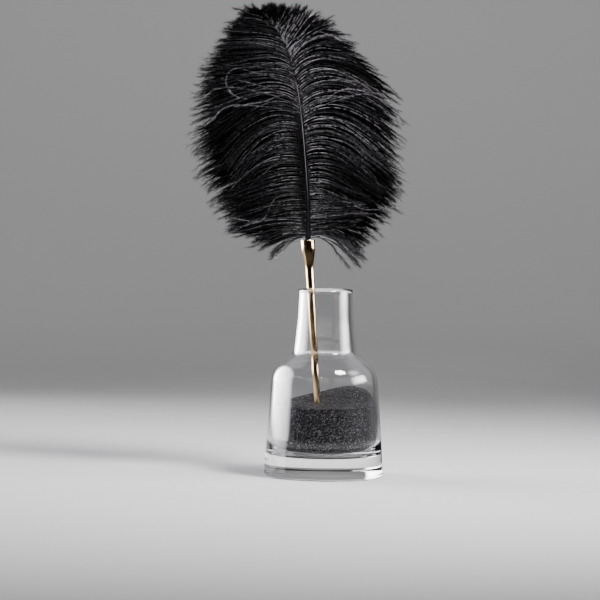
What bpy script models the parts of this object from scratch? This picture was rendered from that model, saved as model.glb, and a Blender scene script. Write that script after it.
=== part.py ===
"""A black ostrich feather standing in a clear glass bottle vase.

The feather's quill sits in a slim polished sleeve of gold-coloured metal, and black sand in the vase
holds the sleeve upright. Metres, +Z up. The origin is the centre of the vase's base, on the surface
that it stands on. The feather faces -Y.
"""

import math

import bmesh
import bpy
import numpy as np
from mathutils import Vector

MM = 0.001
GAP = 0.3 * MM  # clearance that touching pieces keep

# Vase: a turned bottle with a slightly flared body, a round shoulder and a tall conical neck
VASE_SIDES = 40
VASE_HEIGHT = 178.0 * MM
BASE_RADIUS = 57.2 * MM
FOOT_ROUND = 1.5 * MM
SHOULDER_RADIUS = 49.9 * MM
SHOULDER_HEIGHT = 102.0 * MM
SHOULDER_ROUND = 24.0 * MM
NECK_FOOT_RADIUS = 30.4 * MM
NECK_FOOT_HEIGHT = 117.6 * MM
NECK_FOOT_ROUND = 5.0 * MM
NECK_MIDDLE_RADIUS = 27.1 * MM
NECK_MIDDLE_HEIGHT = 149.0 * MM
NECK_MIDDLE_ROUND = 160.0 * MM
MOUTH_RADIUS = 25.8 * MM
GLASS_WALL = 4.4 * MM
LIP_ROUND = 2.0 * MM
BASE_THICKNESS = 19.0 * MM
FLOOR_ROUND = 14.0 * MM
OUTLINE_TOLERANCE = 0.12 * MM  # how far a rounding may stray from its arc
ON_AXIS = 0.0001 * MM  # radius under which an outline's point counts as on the axis

# Sand: filled to about two thirds of the body, sloping up to the back, with one mound at the back right
# and a lower one against the right wall
SAND_SIDES = 36
SAND_RINGS = 7
SAND_LEVEL = 69.0 * MM
SAND_SLOPE = 0.05  # rise for each metre towards +Y
SAND_MOUND = (22.0 * MM, 28.0 * MM, 12.6 * MM, 29.5 * MM)  # x, y, height, radius
SAND_SIDE_MOUND = (46.0 * MM, 14.0 * MM, 4.0 * MM, 20.0 * MM)
SAND_BANK = (-14.0 * MM, 36.0 * MM, 2.0 * MM, 15.0 * MM)
SAND_DIP = (-6.0 * MM, 2.0 * MM, -2.2 * MM, 9.0 * MM)
SAND_WALL_FOOT = BASE_THICKNESS + 1.5 * FLOOR_ROUND  # height at which the sand's side is straight
SAND_EDGE_PASSES = 3  # the edge's radius and height depend on each other, so they are worked out in turn
SLEEVE_CLEARANCE = 1.1 * GAP  # clearance of the sand round the sleeve

# Sleeve: a straight tube that leans to the left, flared at its mouth, its foot buried in the sand
SLEEVE_SIDES = 16
SLEEVE_AT_SAND = -6.5 * MM  # x of the centre line at the height below
SLEEVE_SAND_HEIGHT = 70.0 * MM
SLEEVE_LEAN = -0.0721  # change of x for each metre of height
SLEEVE_OUTSIDE = (  # height, radius
    (30.0 * MM, 1.0 * MM),
    (33.0 * MM, 2.7 * MM),
    (70.0 * MM, 2.9 * MM),
    (110.0 * MM, 3.25 * MM),
    (180.0 * MM, 3.7 * MM),
    (200.0 * MM, 3.9 * MM),
    (203.5 * MM, 4.3 * MM),
    (210.0 * MM, 5.6 * MM),
    (214.5 * MM, 6.4 * MM),
    (218.0 * MM, 6.65 * MM),
    (224.0 * MM, 6.7 * MM),
    (224.5 * MM, 6.4 * MM),
)
SLEEVE_INSIDE = (
    (224.5 * MM, 5.9 * MM),
    (223.5 * MM, 5.6 * MM),
    (214.0 * MM, 3.3 * MM),
    (188.0 * MM, 2.9 * MM),
)

# Feather shaft: the points that its centre line passes, from the quill's end to the tip
SHAFT_POINTS = (
    (-16.07 * MM, 0.0 * MM, 203.0 * MM),
    (-17.6 * MM, 0.0 * MM, 224.5 * MM),
    (-17.4 * MM, 0.5 * MM, 243.0 * MM),
    (-17.9 * MM, 1.0 * MM, 262.0 * MM),
    (-20.9 * MM, 2.0 * MM, 300.0 * MM),
    (-25.0 * MM, 4.0 * MM, 340.0 * MM),
    (-31.2 * MM, 7.0 * MM, 376.0 * MM),
    (-44.3 * MM, 11.0 * MM, 414.0 * MM),
    (-60.0 * MM, 15.0 * MM, 438.0 * MM),
    (-66.0 * MM, 16.5 * MM, 446.0 * MM),
)
SHAFT_WIDTHS = (  # height, width
    (188.0 * MM, 5.2 * MM),
    (214.0 * MM, 6.0 * MM),
    (224.0 * MM, 5.4 * MM),
    (245.0 * MM, 4.6 * MM),
    (438.0 * MM, 1.5 * MM),
)
SHAFT_DEPTH_SHARE = 0.8  # depth of the shaft as a share of its width
SHAFT_FACE_SHARE = 0.5  # depth of the side faces that the locks grow from, as a share of the shaft's depth
QUILL_LEVELS = (188.3 * MM, 206.0 * MM, 222.0 * MM)
PLUME_FOOT = 226.5 * MM
PLUME_TIP = 437.0 * MM

# Locks of barbs: on each side, at a few heights of their roots, the angle at which they leave, the
# place of their tips and the angle that they end at. Angles are above the horizontal, outwards.
LOCKS_PER_SIDE = 36
ROOT_CROWDING = 0.3  # how much closer the roots stand at the tip than at the foot
LOCK_STEPS = 6
LEFT_LOCKS = (  # root height, leaving angle, tip x, tip height, end angle
    (227.0 * MM, -8.0, -55.0 * MM, 208.0 * MM, -38.0),
    (240.0 * MM, 14.0, -96.0 * MM, 232.0 * MM, -22.0),
    (256.0 * MM, 24.0, -110.0 * MM, 247.0 * MM, -26.0),
    (275.0 * MM, 27.0, -124.0 * MM, 264.0 * MM, -32.0),
    (300.0 * MM, 26.0, -130.0 * MM, 287.0 * MM, -38.0),
    (328.0 * MM, 25.0, -134.0 * MM, 312.0 * MM, -34.0),
    (352.0 * MM, 22.0, -132.0 * MM, 344.0 * MM, -22.0),
    (375.0 * MM, 19.0, -130.0 * MM, 371.0 * MM, -10.0),
    (396.0 * MM, 14.0, -120.0 * MM, 395.0 * MM, -3.0),
    (413.0 * MM, 14.0, -105.0 * MM, 415.0 * MM, 0.0),
    (425.0 * MM, 16.0, -91.0 * MM, 432.0 * MM, 6.0),
    (437.0 * MM, 22.0, -82.0 * MM, 443.0 * MM, 12.0),
)
RIGHT_LOCKS = (
    (227.0 * MM, 2.0, 37.0 * MM, 196.0 * MM, -46.0),
    (240.0 * MM, 10.0, 42.0 * MM, 217.0 * MM, -42.0),
    (256.0 * MM, 14.0, 60.0 * MM, 238.0 * MM, -28.0),
    (275.0 * MM, 22.0, 73.0 * MM, 249.0 * MM, -30.0),
    (300.0 * MM, 31.0, 74.0 * MM, 268.0 * MM, -34.0),
    (328.0 * MM, 41.0, 72.0 * MM, 298.0 * MM, -38.0),
    (346.0 * MM, 45.0, 73.0 * MM, 326.0 * MM, -36.0),
    (366.0 * MM, 50.0, 62.0 * MM, 360.0 * MM, -32.0),
    (385.0 * MM, 54.0, 44.0 * MM, 388.0 * MM, -24.0),
    (400.0 * MM, 57.0, 22.0 * MM, 411.0 * MM, -5.0),
    (411.0 * MM, 60.0, 4.0 * MM, 434.0 * MM, 25.0),
    (420.0 * MM, 66.0, -18.0 * MM, 446.0 * MM, 50.0),
    (429.0 * MM, 76.0, -38.0 * MM, 450.0 * MM, 68.0),
    (437.0 * MM, 88.0, -54.0 * MM, 451.0 * MM, 80.0),
)
BEND_REACH = 0.38  # length of a lock's end handles, as a share of the distance from root to tip
SPREAD_SHARE = 0.6  # how much of its depth a lock gains in its first half
LOCK_START = 0.1  # share of a lock's way at which its own first section stands
# Depths that the locks take in turn, as shares of the plume's half depth
LAYER_DEPTHS = (-1.0, 0.35, -0.35, 1.0)
PLUME_HALF_DEPTH = (  # root height, half depth at the tips
    (227.0 * MM, 18.0 * MM),
    (270.0 * MM, 30.0 * MM),
    (390.0 * MM, 26.0 * MM),
    (437.0 * MM, 8.0 * MM),
)
LOCK_WIDTHS = (  # share of the way from root to tip, width
    (0.0, 2.2 * MM),
    (0.12, 2.8 * MM),
    (0.28, 6.0 * MM),
    (0.5, 13.5 * MM),
    (0.75, 12.5 * MM),
    (1.0, 1.2 * MM),
)
LOCK_DEPTHS = ((0.0, 1.4 * MM), (0.4, 2.4 * MM), (1.0, 0.9 * MM))
TIP_WIDTH_SHARE = 0.75  # width of the locks at the plume's tip, as a share of the full width
TIP_TAPER_HEIGHTS = (385.0 * MM, 437.0 * MM)

FEATHER_BLACK = (0.012, 0.011, 0.014)
SLEEVE_GOLD = (0.86, 0.62, 0.33)
GLASS_CLEAR = (1.0, 1.0, 1.0)
SAND_BLACK = (0.03, 0.029, 0.033)


def clear_scene():
    """Removes whatever the scene holds."""
    for obj in list(bpy.data.objects):
        bpy.data.objects.remove(obj, do_unlink=True)


def material(name, colour, roughness, metallic=0.0, transmission=0.0, ior=1.5):
    """Returns a Principled material."""
    made = bpy.data.materials.new(name)
    made.use_nodes = True
    shader = made.node_tree.nodes["Principled BSDF"]
    shader.inputs["Base Color"].default_value = (*colour, 1.0)
    shader.inputs["Roughness"].default_value = roughness
    shader.inputs["Metallic"].default_value = metallic
    shader.inputs["Transmission Weight"].default_value = transmission
    shader.inputs["IOR"].default_value = ior
    return made


def finished(name, bm, finish, sharp_angle=35.0):
    """Turns a closed bmesh into a named object, shaded smooth between its sharp edges."""
    bmesh.ops.recalc_face_normals(bm, faces=bm.faces)
    mesh = bpy.data.meshes.new(name)
    bm.to_mesh(mesh)
    bm.free()
    mesh.materials.append(finish)
    mesh.shade_smooth()
    mesh.set_sharp_from_angle(angle=math.radians(sharp_angle))
    obj = bpy.data.objects.new(name, mesh)
    bpy.context.scene.collection.objects.link(obj)
    return obj


def between(rows, place, column=1):
    """Reads a column of a table at a place between its rows, in straight steps."""
    return float(np.interp(place, [row[0] for row in rows], [row[column] for row in rows]))


def rounded(corners):
    """Rounds an outline's corners: each is (radius from the axis, height, rounding)."""
    outline = []
    for index, (radius, height, rounding) in enumerate(corners):
        corner = Vector((radius, height))
        if rounding == 0.0:
            outline.append(corner)
            continue
        before = (Vector(corners[index - 1][:2]) - corner).normalized()
        after = (Vector(corners[index + 1][:2]) - corner).normalized()
        turn = math.pi - before.angle(after)
        centre = corner + (before + after).normalized() * rounding / math.cos(turn / 2)
        start = corner + before * rounding * math.tan(turn / 2) - centre
        steps = math.ceil(turn / (2 * math.acos(1 - OUTLINE_TOLERANCE / rounding)))
        way = 1.0 if before.x * after.y - before.y * after.x < 0 else -1.0
        for step in range(steps + 1):
            angle = way * turn * step / steps
            turned_start = Vector(
                (
                    start.x * math.cos(angle) - start.y * math.sin(angle),
                    start.x * math.sin(angle) + start.y * math.cos(angle),
                )
            )
            outline.append(centre + turned_start)
    return outline


def crossing(a, b, c, d):
    """Returns the point where the line through a and b meets the line through c and d."""
    along = b - a
    other = d - c
    share = ((c - a).x * other.y - (c - a).y * other.x) / (along.x * other.y - along.y * other.x)
    return a + along * share


def inset(points, distance):
    """Moves an open outline towards the axis by a distance, keeping its corners."""
    lines = []
    for start, end in zip(points, points[1:]):
        along = (end - start).normalized()
        aside = Vector((-along.y, along.x)) * distance
        lines.append((start + aside, end + aside))
    inner = [lines[0][0]]
    for (a, b), (c, d) in zip(lines, lines[1:]):
        inner.append(crossing(a, b, c, d))
    inner.append(lines[-1][1])
    return inner


def wall_points():
    """Returns the corners of the vase's outer wall, from its foot to its mouth."""
    return [
        Vector((BASE_RADIUS, 0.0)),
        Vector((SHOULDER_RADIUS, SHOULDER_HEIGHT)),
        Vector((NECK_FOOT_RADIUS, NECK_FOOT_HEIGHT)),
        Vector((NECK_MIDDLE_RADIUS, NECK_MIDDLE_HEIGHT)),
        Vector((MOUTH_RADIUS, VASE_HEIGHT)),
    ]


def vase_outline():
    """Returns the vase's section, from the middle of its base round the lip to the middle of its floor."""
    outer = wall_points()
    inner = inset(outer, GLASS_WALL)
    level = Vector((1.0, 0.0))
    floor = Vector((0.0, BASE_THICKNESS))
    rim = Vector((0.0, VASE_HEIGHT))
    floor_corner = crossing(floor, floor + level, inner[0], inner[1])
    rim_corner = crossing(rim, rim + level, inner[-2], inner[-1])
    return rounded(
        [
            (0.0, 0.0, 0.0),
            (*outer[0], FOOT_ROUND),
            (*outer[1], SHOULDER_ROUND),
            (*outer[2], NECK_FOOT_ROUND),
            (*outer[3], NECK_MIDDLE_ROUND),
            (*outer[4], LIP_ROUND),
            (*rim_corner, LIP_ROUND),
            (*inner[3], NECK_MIDDLE_ROUND + GLASS_WALL),
            (*inner[2], NECK_FOOT_ROUND + GLASS_WALL),
            (*inner[1], SHOULDER_ROUND - GLASS_WALL),
            (*floor_corner, FLOOR_ROUND),
            (*floor, 0.0),
        ]
    )


def turned(bm, outline, sides):
    """Turns an outline about Z, closing it with a point wherever it meets the axis."""
    rings = []
    for radius, height in outline:
        if radius < ON_AXIS:
            rings.append([bm.verts.new((0.0, 0.0, height))])
            continue
        turns = [2 * math.pi * side / sides for side in range(sides)]
        rings.append([bm.verts.new((radius * math.cos(a), radius * math.sin(a), height)) for a in turns])
    for lower, upper in zip(rings, rings[1:]):
        bridge(bm, lower, upper)


def bridge(bm, lower, upper):
    """Joins two rings of points with faces; either ring may be a single point."""
    count = max(len(lower), len(upper))
    for side in range(count):
        following = (side + 1) % count
        corners = [lower[side % len(lower)], lower[following % len(lower)]]
        corners += [upper[following % len(upper)], upper[side % len(upper)]]
        bm.faces.new(list(dict.fromkeys(corners)))


def build_vase():
    """Makes the glass vase, open at its mouth."""
    bm = bmesh.new()
    turned(bm, vase_outline(), VASE_SIDES)
    return finished("vase", bm, material("clear_glass", GLASS_CLEAR, 0.0, transmission=1.0), 30.0)


def heap(x, y, place):
    """Returns the height that one round heap or dip adds at a place."""
    centre_x, centre_y, height, radius = place
    away = math.hypot(x - centre_x, y - centre_y) / radius
    return height * math.exp(-away * away)


def sand_height(x, y):
    """Returns the height of the sand's surface."""
    heaps = (SAND_MOUND, SAND_SIDE_MOUND, SAND_BANK, SAND_DIP)
    return SAND_LEVEL + SAND_SLOPE * y + sum(heap(x, y, place) for place in heaps)


def inner_radius(height):
    """Returns the radius of the vase's straight inner wall at a height."""
    inner = inset(wall_points(), GLASS_WALL)
    share = (height - inner[0].y) / (inner[1].y - inner[0].y)
    return inner[0].x + share * (inner[1].x - inner[0].x)


def build_sand(sleeve_hole):
    """Makes the sand inside the vase, cut free of the sleeve that stands in it."""
    bm = bmesh.new()
    foot = BASE_THICKNESS + GAP
    corner = (inner_radius(foot) - GAP, foot, FLOOR_ROUND)
    wall_foot = (inner_radius(SAND_WALL_FOOT) - GAP, SAND_WALL_FOOT, 0.0)
    outline = rounded([(0.0, foot, 0.0), corner, wall_foot])
    turned(bm, outline, SAND_SIDES)
    bm.verts.ensure_lookup_table()
    previous = list(bm.verts)[-SAND_SIDES:]
    turns = [2 * math.pi * side / SAND_SIDES for side in range(SAND_SIDES)]
    edges = []
    for angle in turns:
        radius = inner_radius(SAND_LEVEL) - GAP
        for _ in range(SAND_EDGE_PASSES):
            height = sand_height(radius * math.cos(angle), radius * math.sin(angle))
            radius = inner_radius(height) - GAP
        edges.append(radius)
    for ring in range(SAND_RINGS, 0, -1):
        share = ring / SAND_RINGS
        places = [(share * r * math.cos(a), share * r * math.sin(a)) for r, a in zip(edges, turns)]
        current = [bm.verts.new((x, y, sand_height(x, y))) for x, y in places]
        bridge(bm, previous, current)
        previous = current
    bridge(bm, previous, [bm.verts.new((0.0, 0.0, sand_height(0.0, 0.0)))])
    sand = finished("sand", bm, material("black_sand", SAND_BLACK, 0.6))
    cut = sand.modifiers.new("sleeve hole", "BOOLEAN")
    cut.operation = "DIFFERENCE"
    cut.object = sleeve_hole
    return sand


def sleeve_centre(height):
    """Returns the point of the sleeve's straight centre line at a height."""
    return Vector((SLEEVE_AT_SAND + SLEEVE_LEAN * (height - SLEEVE_SAND_HEIGHT), 0.0, height))


def round_ring(bm, centre, radius, sides):
    """Makes a level ring of points round a centre."""
    turns = [2 * math.pi * side / sides for side in range(sides)]
    return [bm.verts.new(centre + Vector((radius * math.cos(a), radius * math.sin(a), 0.0))) for a in turns]


def build_sleeve():
    """Makes the sleeve, closed at its foot, with the bore that takes the quill open at its flared mouth."""
    bm = bmesh.new()
    profile = SLEEVE_OUTSIDE + SLEEVE_INSIDE
    rings = [round_ring(bm, sleeve_centre(height), radius, SLEEVE_SIDES) for height, radius in profile]
    for lower, upper in zip(rings, rings[1:]):
        bridge(bm, lower, upper)
    bm.faces.new(rings[0])
    bm.faces.new(rings[-1])
    return finished("quill_sleeve", bm, material("polished_gold_metal", SLEEVE_GOLD, 0.12, metallic=1.0))


def build_sleeve_hole():
    """Makes the cutter that keeps the sand clear of the sleeve: its buried stretch, a gap wider all round."""
    bm = bmesh.new()
    buried = [row for row in SLEEVE_OUTSIDE if row[0] <= VASE_HEIGHT]
    rings = []
    for index, (height, radius) in enumerate(buried):
        lowered = height - GAP if index == 0 else height
        rings.append(round_ring(bm, sleeve_centre(lowered), radius + SLEEVE_CLEARANCE, SLEEVE_SIDES))
    for lower, upper in zip(rings, rings[1:]):
        bridge(bm, lower, upper)
    bm.faces.new(rings[0])
    bm.faces.new(rings[-1])
    cutter = finished("sleeve_hole", bm, material("cutter", SAND_BLACK, 0.6))
    cutter.hide_render = True
    cutter.display_type = "WIRE"
    return cutter


def shaft_centre(height):
    """Returns the shaft's centre at a height, on a smooth curve through SHAFT_POINTS.

    Each coordinate is a cubic in height between two points, and its slope at a point is the slope
    between the points before and after it.
    """
    if height <= SHAFT_POINTS[1][2]:
        return sleeve_centre(height)
    points = np.array(SHAFT_POINTS)
    span = int(np.clip(np.searchsorted(points[:, 2], height) - 1, 1, len(points) - 3))
    before, start, end, after = points[span - 1 : span + 3]
    rise = end[2] - start[2]
    share = (height - start[2]) / rise
    start_slope = (end - before) / (end[2] - before[2]) * rise
    end_slope = (after - start) / (after[2] - start[2]) * rise
    blend = share * share * (3 - 2 * share)
    leaving = share * (1 - share) ** 2
    arriving = -share * share * (1 - share)
    place = start + (end - start) * blend + start_slope * leaving + end_slope * arriving
    return Vector((float(place[0]), float(place[1]), height))


def shaft_direction(height):
    """Returns the shaft's direction at a height."""
    step = 0.5 * MM
    return (shaft_centre(height + step) - shaft_centre(height - step)).normalized()


def shaft_ring(bm, height):
    """Makes one six-sided section of the shaft, with a flat face on its right and on its left.

    Its corners run right front, right back, back, left back, left front, front.
    """
    centre = shaft_centre(height)
    across = Vector((0.0, 1.0, 0.0)).cross(shaft_direction(height)).normalized()
    half_width = between(SHAFT_WIDTHS, height) / 2
    half_depth = half_width * SHAFT_DEPTH_SHARE
    face = half_depth * SHAFT_FACE_SHARE
    shape = (
        (half_width, -face),
        (half_width, face),
        (0.0, half_depth),
        (-half_width, face),
        (-half_width, -face),
        (0.0, -half_depth),
    )
    return [bm.verts.new(centre + across * x + Vector((0.0, y, 0.0))) for x, y in shape]


def lock_path(rows, side, height, layer):
    """Returns the four control points of a lock's curve: its root, two handles and its tip."""
    root = shaft_centre(height)
    leaving = math.radians(between(rows, height, 1))
    ending = math.radians(between(rows, height, 4))
    half_depth = between(PLUME_HALF_DEPTH, height)
    tip = Vector((between(rows, height, 2), root.y + layer * half_depth, between(rows, height, 3)))
    reach = (tip - root).length * BEND_REACH
    spread = layer * half_depth / reach * SPREAD_SHARE
    away = Vector((side * math.cos(leaving), spread, math.sin(leaving)))
    arriving = Vector((side * math.cos(ending), 0.0, math.sin(ending)))
    return root, root + away * reach, tip - arriving * reach, tip


def on_curve(path, share):
    """Returns the place and the direction at a share of a four-point curve."""
    a, b, c, d = path
    rest = 1.0 - share
    place = a * rest**3 + b * 3 * rest**2 * share + c * 3 * rest * share**2 + d * share**3
    direction = (b - a) * rest**2 + (c - b) * 2 * rest * share + (d - c) * share**2
    return place, direction.normalized()


def grow_lock(bm, root, path, side, fullness):
    """Grows a lock out of the shaft: a flat blade that widens, arches over and ends in a point.

    root holds the four points of the shaft's open face: low front, low back, high back, high front.
    """
    previous = root
    for step in range(LOCK_STEPS):
        share = LOCK_START + (1.0 - LOCK_START) * step / LOCK_STEPS
        place, direction = on_curve(path, share)
        up = direction.cross(Vector((0.0, 1.0, 0.0))).normalized() * side
        back = up.cross(direction).normalized() * side
        half_width = up * between(LOCK_WIDTHS, share) * fullness / 2
        half_depth = back * between(LOCK_DEPTHS, share) * (1.0 + fullness) / 4
        section = [
            bm.verts.new(place - half_width - half_depth),
            bm.verts.new(place - half_width + half_depth),
            bm.verts.new(place + half_width + half_depth),
            bm.verts.new(place + half_width - half_depth),
        ]
        bridge(bm, previous, section)
        previous = section
    bridge(bm, previous, [bm.verts.new(path[3])])


def root_levels(spans):
    """Returns the heights that part the locks' roots, closer together towards the plume's tip."""
    shares = [index / spans for index in range(spans + 1)]
    crowded = [share * (1 + ROOT_CROWDING) - ROOT_CROWDING * share * share for share in shares]
    return [PLUME_FOOT + (PLUME_TIP - PLUME_FOOT) * share for share in crowded]


def build_feather():
    """Makes the feather in one piece: quill, shaft and the locks that grow from its two sides in turn."""
    bm = bmesh.new()
    spans = 2 * LOCKS_PER_SIDE
    levels = root_levels(spans)
    rings = [shaft_ring(bm, height) for height in (*QUILL_LEVELS, *levels)]
    bm.faces.new(rings[0])
    for lower, upper in zip(rings[: len(QUILL_LEVELS)], rings[1:]):
        bridge(bm, lower, upper)
    for span in range(spans):
        lower, upper = rings[len(QUILL_LEVELS) + span : len(QUILL_LEVELS) + span + 2]
        on_right = span % 2 == 0
        low, high = (0, 1) if on_right else (4, 3)
        for corner in range(6):
            following = (corner + 1) % 6
            if {corner, following} != {low, high}:
                bm.faces.new((lower[corner], lower[following], upper[following], upper[corner]))
        height = (levels[span] + levels[span + 1]) / 2
        side, rows = (1.0, RIGHT_LOCKS) if on_right else (-1.0, LEFT_LOCKS)
        layer = LAYER_DEPTHS[(span // 2) % len(LAYER_DEPTHS)]
        fullness = float(np.interp(height, TIP_TAPER_HEIGHTS, (1.0, TIP_WIDTH_SHARE)))
        root = [lower[low], lower[high], upper[high], upper[low]]
        grow_lock(bm, root, lock_path(rows, side, height, layer), side, fullness)
    bridge(bm, rings[-1], [bm.verts.new(SHAFT_POINTS[-1])])
    return finished("feather", bm, material("black_feather", FEATHER_BLACK, 0.55))


def main():
    """Builds the vase, the sand, the sleeve and the feather."""
    clear_scene()
    build_vase()
    build_sand(build_sleeve_hole())
    build_sleeve()
    build_feather()


main()
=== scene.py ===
"""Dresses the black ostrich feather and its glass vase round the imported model.

Lengths are metres, or millimetres times MM. +Z is up, the feather faces -Y, and the vase's base is
centred on the origin. Each sub-assembly is a class that holds its sizes, builds its meshes from numpy
arrays and dresses them; main() builds them in order.
"""

import logging
import math
from collections.abc import Sequence
from dataclasses import dataclass, field
from enum import Enum

import bpy
import numpy as np
from mathutils import Matrix, Vector
from numpy.typing import NDArray


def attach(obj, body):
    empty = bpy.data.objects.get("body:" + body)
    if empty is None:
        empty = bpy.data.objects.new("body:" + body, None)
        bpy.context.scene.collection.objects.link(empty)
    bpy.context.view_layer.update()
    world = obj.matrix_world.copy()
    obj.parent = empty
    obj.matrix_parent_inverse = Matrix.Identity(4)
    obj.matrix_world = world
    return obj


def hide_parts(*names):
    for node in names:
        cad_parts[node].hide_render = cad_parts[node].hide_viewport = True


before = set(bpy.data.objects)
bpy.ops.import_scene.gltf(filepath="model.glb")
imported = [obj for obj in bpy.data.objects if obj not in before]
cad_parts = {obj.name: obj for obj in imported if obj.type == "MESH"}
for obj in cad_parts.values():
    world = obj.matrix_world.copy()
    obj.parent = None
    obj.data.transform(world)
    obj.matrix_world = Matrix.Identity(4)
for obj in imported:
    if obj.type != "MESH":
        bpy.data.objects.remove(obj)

Array = NDArray[np.float64]
Indices = NDArray[np.int64]
MM = 0.001
LOG = logging.getLogger("feather")


class Side(Enum):
    """The plume's two vanes, as their viewer sees them; the value is the sign of X on that side."""

    LEFT = -1.0
    RIGHT = 1.0


# Meshes


def ring_faces(rings: int, sides: int, first_pole: bool, last_pole: bool) -> tuple[Indices, Indices]:
    """Joins rings of points into a skin, closed with a fan at either end.

    Points are numbered ring by ring, then the first pole, then the last one. The face between ring i
    and i + 1, side j, has the corners (i, j), (i, j + 1), (i + 1, j + 1) and (i + 1, j).

    Args:
        rings: number of rings.
        sides: points in each ring.
        first_pole: whether a fan closes the first ring.
        last_pole: whether a fan closes the last ring.

    Returns:
        The corners of all faces in one row, and the number of corners of each face.
    """
    ring = np.arange(rings - 1)[:, None] * sides
    side = np.arange(sides)[None, :]
    following = (side + 1) % sides
    quads = np.stack([ring + side, ring + following, ring + sides + following, ring + sides + side], axis=-1)
    corners = [quads.reshape(-1)]
    sizes = [np.full(quads.shape[0] * quads.shape[1], 4)]
    pole = rings * sides
    if first_pole:
        fan = np.stack([np.full(sides, pole), following[0], side[0]], axis=-1)
        corners.append(fan.reshape(-1))
        sizes.append(np.full(sides, 3))
        pole += 1
    if last_pole:
        last = (rings - 1) * sides
        fan = np.stack([np.full(sides, pole), last + side[0], last + following[0]], axis=-1)
        corners.append(fan.reshape(-1))
        sizes.append(np.full(sides, 3))
    return np.concatenate(corners), np.concatenate(sizes)


@dataclass
class Skin:
    """A mesh as arrays: points, the corners of all faces in one row, and each face's number of corners.

    values holds named numbers, one for each point, for the materials to read.
    """

    points: Array
    corners: Indices
    sizes: Indices
    values: dict[str, Array] = field(default_factory=dict)


def joined(skins: list[Skin]) -> Skin:
    """Joins skins into one, counting each skin's corners on from the one before."""
    starts = np.concatenate([[0], np.cumsum([len(skin.points) for skin in skins])[:-1]])
    return Skin(
        points=np.concatenate([skin.points for skin in skins]),
        corners=np.concatenate([skin.corners + start for skin, start in zip(skins, starts)]),
        sizes=np.concatenate([skin.sizes for skin in skins]),
        values={label: np.concatenate([skin.values[label] for skin in skins]) for label in skins[0].values},
    )


def mesh_object(name: str, skin: Skin, smooth: bool = True) -> bpy.types.Object:
    """Puts a skin into a mesh object at the origin.

    Args:
        name: the piece's name.
        skin: the arrays.
        smooth: whether the faces are shaded smooth.

    Returns:
        The new object.
    """
    mesh = bpy.data.meshes.new(name)
    mesh.vertices.add(len(skin.points))
    mesh.vertices.foreach_set("co", np.ascontiguousarray(skin.points, dtype=np.float32).ravel())
    mesh.loops.add(len(skin.corners))
    mesh.loops.foreach_set("vertex_index", np.ascontiguousarray(skin.corners, dtype=np.int32))
    mesh.polygons.add(len(skin.sizes))
    starts = np.concatenate([[0], np.cumsum(skin.sizes)[:-1]])
    mesh.polygons.foreach_set("loop_start", starts.astype(np.int32))
    mesh.polygons.foreach_set("use_smooth", np.full(len(skin.sizes), smooth))
    for label, numbers in skin.values.items():
        attribute = mesh.attributes.new(label, "FLOAT", "POINT")
        attribute.data.foreach_set("value", np.ascontiguousarray(numbers, dtype=np.float32).ravel())
    mesh.update(calc_edges=True)
    piece = bpy.data.objects.new(name, mesh)
    bpy.context.scene.collection.objects.link(piece)
    return piece


def dressed(piece: bpy.types.Object, material: bpy.types.Material, node: str) -> bpy.types.Object:
    """Gives a piece its material and slot, and puts it in place of a node of the frame.

    Args:
        piece: the new piece.
        material: its finish.
        node: the node that it stands for.

    Returns:
        The same piece.
    """
    piece.data.materials.append(material)
    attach(piece, "root")
    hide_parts(node)
    piece.data.calc_loop_triangles()
    LOG.info("%s: %d triangles, for %s", piece.name, len(piece.data.loop_triangles), node)
    return piece


# Outlines


def rounded(corners: list[tuple[float, float, float]], step: float) -> Array:
    """Rounds the corners of an outline with arcs.

    Each corner is (radius from the axis, height, rounding). An arc of radius r that turns by the angle
    t touches the two straight runs at r tan(t / 2) from the corner.

    Args:
        corners: the outline's corners in order.
        step: longest distance between points on an arc or a straight run.

    Returns:
        The outline's points, one row of (radius, height) each.
    """
    arcs: list[Array] = []
    for index, (radius, height, rounding) in enumerate(corners):
        corner = np.array([radius, height])
        if rounding == 0.0:
            arcs.append(corner[None, :])
            continue
        before = np.array(corners[index - 1][:2]) - corner
        after = np.array(corners[index + 1][:2]) - corner
        before /= np.linalg.norm(before)
        after /= np.linalg.norm(after)
        turn = math.pi - math.acos(float(np.clip(before @ after, -1.0, 1.0)))
        middle = before + after
        centre = corner + middle / np.linalg.norm(middle) * rounding / math.cos(turn / 2)
        start = corner + before * rounding * math.tan(turn / 2) - centre
        way = 1.0 if before[0] * after[1] - before[1] * after[0] < 0 else -1.0
        count = max(3, math.ceil(turn * rounding / step))
        angles = way * np.linspace(0.0, turn, count + 1)
        turned = np.stack(
            [start[0] * np.cos(angles) - start[1] * np.sin(angles), start[0] * np.sin(angles) + start[1] * np.cos(angles)],
            axis=-1,
        )
        arcs.append(centre + turned)
    return evenly_filled(np.concatenate(arcs), step)


def evenly_filled(points: Array, step: float) -> Array:
    """Adds points along the runs of a line that are longer than a step, evenly spaced in each run."""
    filled = [points[:1]]
    for start, end in zip(points, points[1:]):
        count = max(1, math.ceil(float(np.linalg.norm(end - start)) / step))
        shares = np.linspace(0.0, 1.0, count + 1)[1:, None]
        filled.append(start + (end - start) * shares)
    return np.concatenate(filled)


def crossing(a: Array, b: Array, c: Array, d: Array) -> Array:
    """Returns the point where the line through a and b meets the line through c and d."""
    along = b - a
    other = d - c
    share = ((c - a)[0] * other[1] - (c - a)[1] * other[0]) / (along[0] * other[1] - along[1] * other[0])
    return a + along * share


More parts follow.
